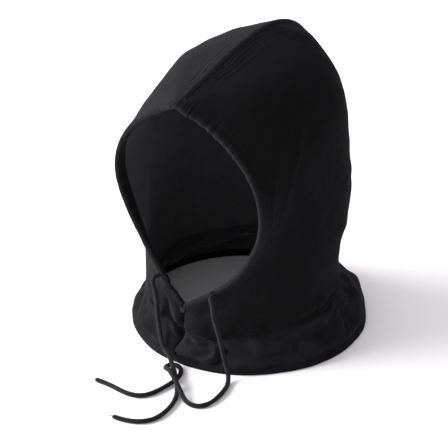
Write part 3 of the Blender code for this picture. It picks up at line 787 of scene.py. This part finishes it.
verts = np.zeros((NR * NC + int((~weld).sum()), 3))
verts[left_id.ravel()] = start[1].reshape(-1, 3)
verts[right_id[~weld]] = start[-1][~weld]
verts[left_id[weld], 0] = 0
net_faces = []
for ids in (left_id, right_id):
    for i in range(NR - 1):
        for j in range(NC - 1):
            q = (ids[i, j], ids[i, j + 1], ids[i + 1, j + 1], ids[i + 1, j])
            net_faces.append(tuple(int(k) for k in (q if ids is left_id else q[::-1])))
# how firmly each place is held, and how much longer the cloth is than the room it has
s_of = np.r_[np.full(len(SIM_V) - 1, -1.0), SIM_S]
v_of = np.r_[SIM_V[::-1][:-1], np.zeros(len(SIM_S))]
col = np.linspace(0, 1, NC)
z_of = rest_net[:, :, 2]
low = np.clip((150 * MM - z_of) / (110 * MM), 0, 1)
hold = 0.10 + 0.35 * (1 - low)
edge = np.clip(1 - (1 - col[None]) * 300 * MM / (14 * MM), 0, 1) * (s_of[:, None] > 0.12)
hold = np.maximum(hold, edge)
hold = np.maximum(hold, np.clip(1 - col[None] / 0.02, 0, 1) * 0.8 * (z_of > 60 * MM))
hold[v_of > 0.93] = 1
hold[s_of > 0.93] = 1
hold[np.abs(s_of - 0.0) < 1e-9] = 0.22
grow = 0.10 + 0.90 * low
GROWTH = 0.05


def slump():
    """Let the cloth settle under its own weight, held where a head, the hem and the drawcord hold it."""
    ob = new_object("slump", verts, net_faces)
    gp, gg = ob.vertex_groups.new(name="hold"), ob.vertex_groups.new(name="grow")
    for ids in (left_id, right_id):
        for i in range(NR):
            for j in range(NC):
                k = int(ids[i, j])
                gp.add([k], float(min(1, hold[i, j])), 'REPLACE')
                gg.add([k], float(grow[i, j]), 'REPLACE')
    mod = ob.modifiers.new("cloth", 'CLOTH')
    st = mod.settings
    st.quality = 7
    st.mass = 0.12
    st.tension_stiffness = st.compression_stiffness = 12
    st.shear_stiffness = 6
    st.bending_stiffness = 0.5
    st.tension_damping = st.compression_damping = st.shear_damping = 8
    st.bending_damping = 1.0
    st.air_damping = 2.0
    st.vertex_group_mass = "hold"
    st.pin_stiffness = 1.2
    st.vertex_group_shrink = "grow"
    st.shrink_min = 0.0
    st.shrink_max = -GROWTH
    st.effector_weights.gravity = 0.6
    mod.collision_settings.use_collision = False
    mod.collision_settings.use_self_collision = False
    mod.point_cache.frame_start, mod.point_cache.frame_end = 1, 36
    for f in range(1, 37):
        scene.frame_set(f)
    dg = bpy.context.evaluated_depsgraph_get()
    me = ob.evaluated_get(dg).to_mesh()
    out = np.empty(len(me.vertices) * 3, dtype=np.float32)
    me.vertices.foreach_get("co", out)
    ob.evaluated_get(dg).to_mesh_clear()
    bpy.data.objects.remove(ob)
    scene.frame_set(1)
    return out.reshape(-1, 3).astype(float)


settled = slump()
shift = {}
for side, ids in ((1, left_id), (-1, right_id)):
    d = settled[ids] * [side, 1, 1] - rest_net
    size = np.linalg.norm(d, axis=2, keepdims=True)
    d *= np.minimum(1, 9.0 * MM / np.maximum(size, 1e-9)) ** 0.8
    for _ in range(1):
        e = d.copy()
        e[1:-1, 1:-1] = 0.6 * d[1:-1, 1:-1] + 0.1 * (d[:-2, 1:-1] + d[2:, 1:-1] + d[1:-1, :-2] + d[1:-1, 2:])
        d = e
    # everything stays on its own side
    d[:, :, 0] = np.maximum(d[:, :, 0], -rest_net[:, :, 0])
    d[weld, 0] = 0
    shift[side] = d


def finer(rows_at, cols_at, g, rows_to, cols_to):
    """Cubic resampling of a grid of vectors."""
    n, m = g.shape[:2]
    a = spline(rows_at, g.reshape(n, -1), rows_to).reshape(len(rows_to), m, 3).transpose(1, 0, 2)
    b = spline(cols_at, a.reshape(m, -1), cols_to).reshape(len(cols_to), len(rows_to), 3)
    return b.transpose(1, 0, 2)


NCAPE = len(SIM_V) - 1
ROW_AT = np.arange(NR, dtype=float)
S_BASE = np.unique(np.r_[np.linspace(0, 0.12, 40), np.linspace(0.12, 0.9, 170), np.linspace(0.9, 0.985, 24), np.linspace(0.985, 0.998, 6)])
C_BASE = np.linspace(0, 1, 170)
base = panel_rows(S_BASE, len(C_BASE), 0.0)
base_n = grid_normals(base)
_n, _m = base.shape[:2]
_tris = []
for i in range(_n - 1):
    for j in range(_m - 1):
        a0, a1, b0, b1 = i * _m + j, i * _m + j + 1, (i + 1) * _m + j, (i + 1) * _m + j + 1
        _tris += [(a0, b0, b1), (a0, b1, a1)]
_tris = np.array(_tris)
_bv = base.reshape(-1, 3)
base_tree = BVHTree.FromPolygons([Vector(v) for v in _bv], [tuple(int(k) for k in t) for t in _tris])
row_of_s = np.interp(np.minimum(S_BASE, SIM_S[-1]), SIM_S, np.arange(len(SIM_S))) + NCAPE
field = {side: finer(ROW_AT, col, shift[side], row_of_s, C_BASE).reshape(-1, 3) for side in (1, -1)}


class Spots:
    """Places on the pattern surface nearest to some points, to read its shape and the cloth's shift there."""

    def __init__(self, p):
        p = np.asarray(p, float)
        self.shape = p.shape
        q = p.reshape(-1, 3)
        loc, idx = np.empty_like(q), np.empty(len(q), dtype=int)
        for i, v in enumerate(q):
            l, _, k, _ = base_tree.find_nearest(Vector(v))
            loc[i], idx[i] = l, k
        tri = _tris[idx]
        a, b, c = _bv[tri[:, 0]], _bv[tri[:, 1]], _bv[tri[:, 2]]
        v0, v1, v2 = b - a, c - a, loc - a
        d00, d01, d11 = (v0 * v0).sum(1), (v0 * v1).sum(1), (v1 * v1).sum(1)
        d20, d21 = (v2 * v0).sum(1), (v2 * v1).sum(1)
        den = np.where(np.abs(d00 * d11 - d01 * d01) < 1e-18, 1e-18, d00 * d11 - d01 * d01)
        v = np.clip((d11 * d20 - d01 * d21) / den, 0, 1)
        w = np.clip((d00 * d21 - d01 * d20) / den, 0, 1)
        u = np.clip(1 - v - w, 0, 1)
        t = u + v + w
        self.tri, self.w = tri, np.stack([u / t, v / t, w / t], 1)
        self.loc = loc.reshape(self.shape)
        n = self.read(base_n.reshape(-1, 3))
        self.n = n / np.linalg.norm(n, axis=-1, keepdims=True)

    def read(self, values):
        return (self.w[:, :, None] * values[self.tri]).sum(1).reshape(self.shape)

    def shift(self, side):
        return self.read(field[side]) + self.n * (folds(self.loc * [side, 1, 1], "h") + narrow_creases(self.loc, side))[..., None]


def on_base(p):
    sp = Spots(p)
    return sp.loc, sp.n


# ------------------------------------------------------------------ hood panels and lining
SHELL_T = 1.6 * MM
S_PANEL = np.unique(np.r_[np.linspace(0, 0.12, 34), np.linspace(0.12, 0.90, 150), np.linspace(0.90, 0.9935, 30)])
panel = panel_rows(S_PANEL, 150, 7.0 * MM)
panel_n = grid_normals(panel)
panel_sp = Spots(panel)
S_LIN = np.unique(np.r_[np.linspace(0, 0.12, 20), np.linspace(0.12, 0.90, 76), np.linspace(0.90, 0.9935, 16)])
lining = panel_rows(S_LIN, 84, 6.0 * MM)
lining_sp = Spots(lining)


def fine_grain(g, side):
    """Small puckers that the coarse net can't carry: gathers at the brim and tucks along the crown seam."""
    q = g.reshape(-1, 3)
    m = q * [side, 1, 1]
    d, at, total = to_line(q, CROWN_LINE)
    near_brim = np.clip((at / total - 0.50) / 0.35, 0, 1)
    h = 0.30 * MM * near_brim * np.sin(2 * pi * at / (7.3 * MM) + 2.4 * waves(m, 34 * MM, 17)) * np.exp(-((d - 8 * MM) / (6 * MM)) ** 2)
    wander = 1.6 * MM * waves(m, 45 * MM, 19)
    for off, high in ((8.0, 1.0), (12.5, 1.0), (17.5, 0.9), (24.0, 0.7)) if side > 0 else ((9.0, 0.7), (17.0, 0.5)):
        fade = np.clip(0.75 + 0.5 * waves(m + off, 60 * MM, 37), 0, 1)
        h += high * fade * MM * near_brim * np.exp(-((d - off * MM * (1.35 - 0.55 * at / total) - wander) / (1.4 * MM)) ** 2)
    d, at, total = to_line(q, EDGE_LINE)
    high = np.exp(-((at / total - 0.84) / 0.13) ** 2)
    ripple = np.sin(2 * pi * at / (9.5 * MM) + 2.6 * waves(m, 38 * MM, 23)) * (0.55 + 0.45 * waves(m, 30 * MM, 29))
    amount = (0.10 + 0.85 * high) if side > 0 else (0.06 + 0.22 * high)
    h += amount * MM * ripple * np.exp(-(d / (9 * MM)) ** 2)
    h += 0.16 * MM * waves(m, 13 * MM, 61)
    level = np.clip(q[:, 0] / (7 * MM), 0, 1)
    return (h * level * level * (3 - 2 * level)).reshape(g.shape[:-1])


for word, side in (("left", 1), ("right", -1)):
    flip = np.array([side, 1, 1])
    mid = panel + panel_sp.shift(side)
    mid[:, :, 0] = np.maximum(mid[:, :, 0], 0)
    n = grid_normals(mid)
    n[:, 0, 0] = n[:, 0, 0] * 0
    for _ in range(2):
        n[1:-1, 1:-1] = (n[1:-1, 1:-1] * 2 + n[:-2, 1:-1] + n[2:, 1:-1] + n[1:-1, :-2] + n[1:-1, 2:]) / 6
    n /= np.linalg.norm(n, axis=2, keepdims=True)
    h = fine_grain(panel, side)
    outer = mid + n * (h + SHELL_T)[:, :, None]
    inner = mid + n * (0.4 * h + 0.15 * MM)[:, :, None]
    for g in (outer, inner):
        g[:, :, 0] = np.maximum(g[:, :, 0], 0.05 * MM)
    ob = cloth("hood_panel_" + word, outer * flip, inner * flip)
    # the near panel takes the darker copy of the knit: painted shade
    finish_piece(ob, mat_near_painted_shade if side > 0 else mat_shell)
    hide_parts("shell_" + word)
    mid = lining + lining_sp.shift(side)
    mid[:, :, 0] = np.maximum(mid[:, :, 0], 0)
    n = grid_normals(mid)
    for _ in range(2):
        n[1:-1, 1:-1] = (n[1:-1, 1:-1] * 2 + n[:-2, 1:-1] + n[2:, 1:-1] + n[1:-1, :-2] + n[1:-1, 2:]) / 6
    n /= np.linalg.norm(n, axis=2, keepdims=True)
    outer = mid - n * 0.35 * MM
    inner = mid - n * (1.45 * MM + 0.25 * MM * waves((lining * flip).reshape(-1, 3), 18 * MM, 67).reshape(n.shape[:2]))[:, :, None]
    for g in (outer, inner):
        g[:, :, 0] = np.maximum(g[:, :, 0], 0.05 * MM)
    ob = cloth("hood_lining_" + word, outer * flip, inner * flip)
    finish_piece(ob, mat_lining)
    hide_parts("lining_" + word)

# ------------------------------------------------------------------ crown seam band with its stitches
S_BAND = np.unique(np.r_[np.linspace(0.02, 0.9, 120), np.linspace(0.9, 0.993, 30)])
LAT = np.array([0, 0.5, 1.3, 2.4, 3.2, 3.9, 4.5, 5.0]) * MM
LIFT = np.array([0.22, 0.42, 0.55, 0.52, 0.26, 0.44, 0.28, 0.02]) * MM
half_p = []
for s in S_BAND:
    line, _ = row_line(s)
    d = run_of(line)
    k = min(1.0, 0.45 * d[-1] / LAT[-1])
    half_p.append(np.stack([np.interp(LAT * k, d, line[:, i]) for i in range(3)], 1))
half_p = np.array(half_p)
half_sp = Spots(half_p)
half_n = half_sp.n.copy()
half_n[:, 0] = half_n[:, 0] * [0, 1, 1]
half_n[:, 0] /= np.linalg.norm(half_n[:, 0], axis=1)[:, None]
tops, lows = [], []
for side in (-1, 1):
    h = fine_grain(half_p, side)
    d = half_sp.shift(side)
    top = half_p + d + half_n * (h + SHELL_T + LIFT[None])[:, :, None]
    low = half_p + d + half_n * (h + SHELL_T - 0.35 * MM)[:, :, None]
    top[:, 0, 0] = low[:, 0, 0] = 0
    flip = np.array([side, 1, 1])
    a, b = top * flip, low * flip
    if side < 0:
        a, b = a[:, :0:-1], b[:, :0:-1]
    tops.append(a)
    lows.append(b)
band_top, band_low = np.concatenate(tops, 1), np.concatenate(lows, 1)
crown = cloth("crown_seam_band", band_top, band_low)
finish_piece(crown, mat_shell)
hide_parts("crown_seam")
rows = []
for k, side in ((4, 1), (4, -1)):
    h = fine_grain(half_p, side)
    line = (half_p + half_sp.shift(side) + half_n * (h + SHELL_T + LIFT[None] + 0.02 * MM)[:, :, None])[:, k] * [side, 1, 1]
    rows += stitch_row(line, half_n[:, k] * [side, 1, 1], radius=0.27 * MM)
crown_st = join_meshes("crown_stitches", rows)
finish_piece(crown_st, mat_thread)

# ------------------------------------------------------------------ drawcord tunnel on the face edge
S_EDGE = np.unique(np.r_[np.linspace(0.104, 0.2, 26), np.linspace(0.2, 0.9, 150), np.linspace(0.9, 1.0, 44)])
edge_p, edge_b, edge_n, edge_t = [], [], [], []
for s in S_EDGE:
    p, t, b, n = edge_frame(s)
    edge_p.append(p); edge_t.append(t); edge_b.append(b); edge_n.append(n)
edge_p, edge_b, edge_n, edge_t = map(np.array, (edge_p, edge_b, edge_n, edge_t))
edge_run = run_of(edge_p)
crown_dir = crown_at(0.97)[0] - crown_at(1.0)[0]
crown_dir /= np.linalg.norm(crown_dir)
for i in range(len(S_EDGE)):
    w = np.clip(1 - (edge_run[-1] - edge_run[i]) / (16 * MM), 0, 1) ** 1.2
    v = edge_b[i] * (1 - w) + crown_dir * w
    edge_b[i] = v / np.linalg.norm(v)
    n = edge_n[i] - edge_b[i] * (edge_n[i] @ edge_b[i])
    if w > 0.98:
        n = n * [0, 1, 1]
    edge_n[i] = n / np.linalg.norm(n)
edge_side = {}
R_TUN = 3.7 * MM
BACKS = np.array([2.2, 4.2, 6.2, 8.0, 9.4, 10.4, 11.4, 12.4]) * MM
OUT_H = np.array([3.60, 3.20, 2.72, 2.35, 2.10, 1.72, 1.98, 1.66]) * MM
IN_H = np.array([-3.5, -3.1, -2.6, -2.2, -2.0, -1.9, -1.95, -1.6]) * MM
far = []
for d in BACKS:
    lim = np.minimum(1.0, 0.2 + (edge_run) / (14 * MM))
    sp = Spots(edge_p + edge_b * (d * lim)[:, None])
    p = sp.loc.copy()
    p[:, 0] = np.maximum(p[:, 0], 0.0)
    far.append((p, sp.n, sp))
edge_sp = Spots(edge_p)
for word, side in (("left", 1), ("right", -1)):
    ring = []
    grain = fine_grain(edge_p, side)
    for k in range(len(BACKS) - 1, -1, -1):
        p, n, sp = far[k]
        ring.append(p + sp.shift(side) + n * (fine_grain(p, side) + OUT_H[k])[:, None])
    centre = edge_p + edge_sp.shift(side)
    scallop = 1.5 * grain
    for a in np.linspace(90, -90, 11):
        a = radians(a)
        ring.append(centre - edge_b * ((R_TUN + scallop) * cos(a))[:, None] + edge_n * (R_TUN * sin(a) + grain * (0.5 + 0.5 * sin(a)))[:, None])
    for k in range(len(BACKS)):
        p, n, sp = far[k]
        ring.append(p + sp.shift(side) + n * (0.4 * fine_grain(p, side) + IN_H[k])[:, None])
    ring = np.stack(ring, 1)
    ring[:, :, 0] = np.maximum(ring[:, :, 0], 0.04 * MM)
    ring[-1, :, 0] = 0.04 * MM
    flip = np.array([side, 1, 1])
    x = np.broadcast_to(edge_run[:, None], ring.shape[:2])
    y = np.concatenate([np.zeros((len(S_EDGE), 1)), np.linalg.norm(np.diff(ring, axis=1), axis=2).cumsum(1)], 1)
    ob = tube("drawcord_tunnel_" + word, ring * flip, np.stack([y, x], 2).reshape(-1, 2))
    # the near tunnel takes the darker copy of the knit too: painted shade
    finish_piece(ob, mat_near_painted_shade if side > 0 else mat_shell)
    if side > 0:      # painted highlight: the rolled top of the near edge takes a lighter copy of the knit, with a plain step between, where the light falls on it
        ob.data.materials.append(mat_rim_step)
        ob.data.materials.append(mat_edge_painted_highlight)
        per = ring.shape[1]
        for poly in ob.data.polygons:
            k = sorted(v % per for v in poly.vertices)
            if k[-1] - k[0] == 1 and max(poly.vertices) < ring.shape[0] * per:
                poly.material_index = 2 if 9 <= k[0] <= 18 else 1 if k[0] in (7, 8) else 0
    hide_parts("casing_" + word)
    # one row of stitches closes the tunnel
    p, n, sp = far[5]
    line = p + sp.shift(side) + n * (fine_grain(p, side) + OUT_H[5] + 0.02 * MM)[:, None]
    keep = slice(6, len(line) - 6)
    st = join_meshes("tunnel_stitches_" + word, stitch_row(line[keep] * flip, n[keep] * flip, radius=0.25 * MM))
    finish_piece(st, mat_thread)
    edge_side[word] = st

# cord inside the tunnel
i0 = int(np.argmin(np.abs(S_EDGE - EXIT_S)))
left_c = (edge_p + edge_sp.shift(1))[i0:]
right_c = (edge_p + edge_sp.shift(-1))[i0:] * [-1, 1, 1]
inner_line = even(np.vstack([left_c[:-2], right_c[:-2][::-1]]), 420)
x = run_of(inner_line)
rings = pipe_rings(inner_line, np.full(len(inner_line), CORD_R), 14)
uv = np.stack([np.broadcast_to(np.arange(14)[None] * CORD_R * 0.45, (420, 14)), np.broadcast_to(x[:, None], (420, 14))], 2)
ob = tube("drawcord_in_tunnel", rings, uv.reshape(-1, 2))
finish_piece(ob, mat_cord)
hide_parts("drawcord_inner")

# ------------------------------------------------------------------ stitched eyelets and the chin bartack
for word, side in (("left", 1), ("right", -1)):
    flip = np.array([side, 1, 1])
    c, d = exit_p * flip, exit_d * flip
    u = exit_t * flip
    v = np.cross(d, u)
    c = c + Spots(exit_p[None]).shift(side)[0] * flip * 0.5
    parts = []
    for k in range(30):
        t = 2 * pi * k / 30
        r = cos(t) * u + sin(t) * v
        a = c + r * 3.0 * MM + d * (R_TUN - 0.2 * MM)
        b = c + r * 4.7 * MM + d * (R_TUN - 1.6 * MM)
        parts.append(stitch_shape(a, b, d, 0.36 * MM))
    eye = join_meshes("eyelet_stitches_" + word, parts)
    finish_piece(eye, mat_thread)
    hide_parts("eyelet_" + word)
p0 = face_at(0.085)[0]
parts = []
for k in range(17):
    z = p0[2] + (k - 8) * 0.36 * MM
    y = p0[1] - SHELL_T - 0.15 * MM
    a = np.array([-3.8 * MM, y, z])
    b = np.array([3.8 * MM, y, z + 0.2 * MM])
    parts.append(stitch_shape(a, b, np.array([0, -1.0, 0]), 0.27 * MM))
tack = join_meshes("chin_bartack_stitches", parts)
finish_piece(tack, mat_thread)
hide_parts("chin_bartack")

# ------------------------------------------------------------------ neck cape and its hem
CAPE_N = 240
neck_row = even(row_line(0.0)[0], CAPE_N)
V = np.linspace(0, 1, 56)
cape, phi = cape_rows(neck_row, V)
cape_n = grid_normals(cape, centre=(0, 0, -0.02))
cape_field = {side: finer(ROW_AT[:NCAPE + 1], col, shift[side][:NCAPE + 1][::-1], np.interp(V, SIM_V, ROW_AT[:NCAPE + 1]),
                          np.linspace(0, 1, CAPE_N)) for side in (1, -1)}
hem_rings = {}
for word, side in (("left", 1), ("right", -1)):
    flip = np.array([side, 1, 1])
    mid = cape + cape_field[side] + cape_n * cape_relief(cape, V, phi, side)[:, :, None]
    mid[:, :, 0] = np.maximum(mid[:, :, 0], 0)
    n = grid_normals(mid, centre=(0, 0, -0.02))
    n /= np.linalg.norm(n, axis=2, keepdims=True)
    h = 0.15 * MM * waves((cape * flip).reshape(-1, 3), 12 * MM, 71).reshape(n.shape[:2])
    press = np.exp(-((cape[:, :, 2] - 11.0 * MM) / (1.3 * MM)) ** 2) * 0.35 * MM
    seam = 0.5 * MM * np.exp(-(cape[:, :, 0] / (2.0 * MM)) ** 2)
    outer = mid + n * (h - press - seam)[:, :, None]
    inner = mid + n * (h - 2.0 * MM)[:, :, None]
    for g in (outer, inner):
        g[:, :, 0] = np.maximum(g[:, :, 0], 0.05 * MM)
        g[:, :, 2] = np.maximum(g[:, :, 2], 0.8 * MM)
    ob = cloth("cape_panel_" + word, outer * flip, inner * flip)
    # each cape half takes its lighter or darker copy of the knit: painted light and shade
    finish_piece(ob, mat_cape_painted_light_and_shade[word])
    ob.data.materials.append(mat_lining)
    half = outer.shape[0] * outer.shape[1]
    for poly in ob.data.polygons:
        if min(poly.vertices) >= half:
            poly.material_index = 1
    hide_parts("cape_" + word)
    # the cape's outer face by height, for the hem to follow
    levels = np.linspace(0, 12, 13) * MM
    ring = np.empty((len(levels), CAPE_N, 2))
    for j in range(CAPE_N):
        lowest = np.argmax(outer[::-1, j, 2] > 14 * MM) + 1
        o = outer[::-1][:lowest, j]
        k = np.argsort(o[:, 2], kind="stable")
        for c in (0, 1):
            ring[:, j, c] = np.interp(levels, o[k, 2], o[k, c])
    hem_rings[word] = ring
# hem: a folded band wrapped round the foot of both cape halves
foot_n = cape_n[-1] * [1, 1, 0]
foot_n /= np.linalg.norm(foot_n, axis=1)[:, None]
loop_n = np.vstack([foot_n, (foot_n * [-1, 1, 1])[-2:0:-1]])
loop_at = np.concatenate([hem_rings["left"], (hem_rings["right"] * [-1, 1])[:, -2:0:-1]], 1)
prof = [(-0.6, 0.0), (0.10, 0.25), (0.40, 1.1), (0.46, 3.0), (0.42, 5.5), (0.34, 7.6), (0.22, 8.7), (-0.05, 9.5),
        (-0.7, 9.9), (-1.7, 9.7), (-2.6, 9.0), (-2.9, 6.0), (-3.0, 3.0), (-2.9, 1.0), (-2.4, 0.2), (-1.6, 0.0)]
rr = []
for a, b in prof:
    k = min(len(levels) - 1.001, max(1.0, b))
    i, t = int(k), k - int(k)
    at = loop_at[i] * (1 - t) + loop_at[i + 1] * t
    rr.append(np.concatenate([at, np.full((len(at), 1), b * MM)], 1) + loop_n * a * MM)
rr = np.array(rr)
n, m = rr.shape[:2]
v = rr.reshape(-1, 3)
f = [(i * m + j, i * m + (j + 1) % m, ((i + 1) % n) * m + (j + 1) % m, ((i + 1) % n) * m + j)
     for i in range(n) for j in range(m)]
run = np.r_[0, np.cumsum(np.linalg.norm(np.diff(rr[0], axis=0), axis=1))]
uv = np.array([(run[j], i * 1.4 * MM) for i in range(n) for j in range(m)])
hem = new_object("cape_hem_band", v, face_out(v, f), uv)
finish_piece(hem, mat_shell)
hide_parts("cape_hem")
line = np.vstack([rr[6], rr[6][:1]]) + np.vstack([loop_n, loop_n[:1]]) * 0.1 * MM
hem_st = join_meshes("hem_stitches", stitch_row(line, np.vstack([loop_n, loop_n[:1]]), radius=0.25 * MM))
finish_piece(hem_st, mat_thread)

# ------------------------------------------------------------------ tape over the neck seam, inside
tape_n = panel_n[0] * [1, 1, 0]
tape_n /= np.linalg.norm(tape_n, axis=1)[:, None]
tn = tape_n[::2].copy()
tn[0], tn[-1] = (0, 1, 0), (0, -1, 0)
half_ring = {}
for side in (1, -1):
    t = panel[0][::2] + panel_sp.shift(side)[0][::2]
    t[0, 0] = t[-1, 0] = 0
    half_ring[side] = t
for k in (0, -1):
    half_ring[1][k] = half_ring[-1][k] = (half_ring[1][k] + half_ring[-1][k]) / 2
ring_p = np.vstack([half_ring[1], (half_ring[-1] * [-1, 1, 1])[-2:0:-1]])
ring_n = np.vstack([tn, (tn * [-1, 1, 1])[-2:0:-1]])
wob = 0.25 * MM * waves(ring_p, 22 * MM, 53)
out_g = np.array([ring_p - ring_n * (2.6 * MM - 0.0 * wob)[:, None] + np.array([0, 0, z * MM]) for z in (-5, -3.6, -1, 1.5, 3.8, 5)])
in_g = np.array([ring_p - ring_n * ((3.3 + e) * MM + wob)[:, None] + np.array([0, 0, z * MM])
                 for z, e in ((-5, 0), (-3.6, 0.25), (-1, 0.1), (1.5, 0.1), (3.8, 0.25), (5, 0))])
tape = cloth("neck_seam_tape_band", in_g, out_g, closed=True)
finish_piece(tape, mat_band)
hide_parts("neck_seam_tape")

# ------------------------------------------------------------------ floor and light
me = bpy.data.meshes.new("floor")
me.from_pydata([(-6, -6, 0), (6, -6, 0), (6, 6, 0), (-6, 6, 0)], [], [(0, 1, 2, 3)])
floor = bpy.data.objects.new("floor", me)
floor.location.z = -0.0003
scene.collection.objects.link(floor)
fm = bpy.data.materials.new("floor_white")
fm.use_nodes = True
fm.node_tree.nodes["Principled BSDF"].inputs["Base Color"].default_value = (0.93, 0.925, 0.93, 1)
fm.node_tree.nodes["Principled BSDF"].inputs["Roughness"].default_value = 0.6
me.materials.append(fm)

world = bpy.data.worlds.new("studio")
scene.world = world
world.use_nodes = True
wn = world.node_tree
back = wn.nodes["Background"]
back.inputs["Color"].default_value = (1.0, 0.965, 0.99, 1)
way = wn.nodes.new("ShaderNodeTexCoord")
dot = wn.nodes.new("ShaderNodeVectorMath")
dot.operation = 'DOT_PRODUCT'
dot.inputs[1].default_value = tuple(Vector((-0.70, -0.62, 0.45)).normalized())
wn.links.new(way.outputs["Generated"], dot.inputs[0])
span = wn.nodes.new("ShaderNodeMapRange")
span.inputs["From Min"].default_value, span.inputs["From Max"].default_value = -1.0, 1.0
span.inputs["To Min"].default_value, span.inputs["To Max"].default_value = 0.22, 1.32
wn.links.new(dot.outputs["Value"], span.inputs["Value"])
wn.links.new(span.outputs["Result"], back.inputs["Strength"])


def area_light(name, direction, distance, size, power, colour=(1, 1, 1)):
    data = bpy.data.lights.new(name, 'AREA')
    data.shape = 'DISK'
    data.size = size
    data.energy = power
    data.color = colour
    ob = bpy.data.objects.new(name, data)
    scene.collection.objects.link(ob)
    d = Vector(direction).normalized()
    ob.location = Vector((0, 0, 0.17)) + d * distance
    ob.rotation_euler = d.to_track_quat('Z', 'Y').to_euler()
    return ob


area_light("key", (-0.72, -0.60, 0.40), 2.6, 2.2, 205, (1.0, 0.99, 1.0))
scene.view_settings.view_transform = 'Standard'
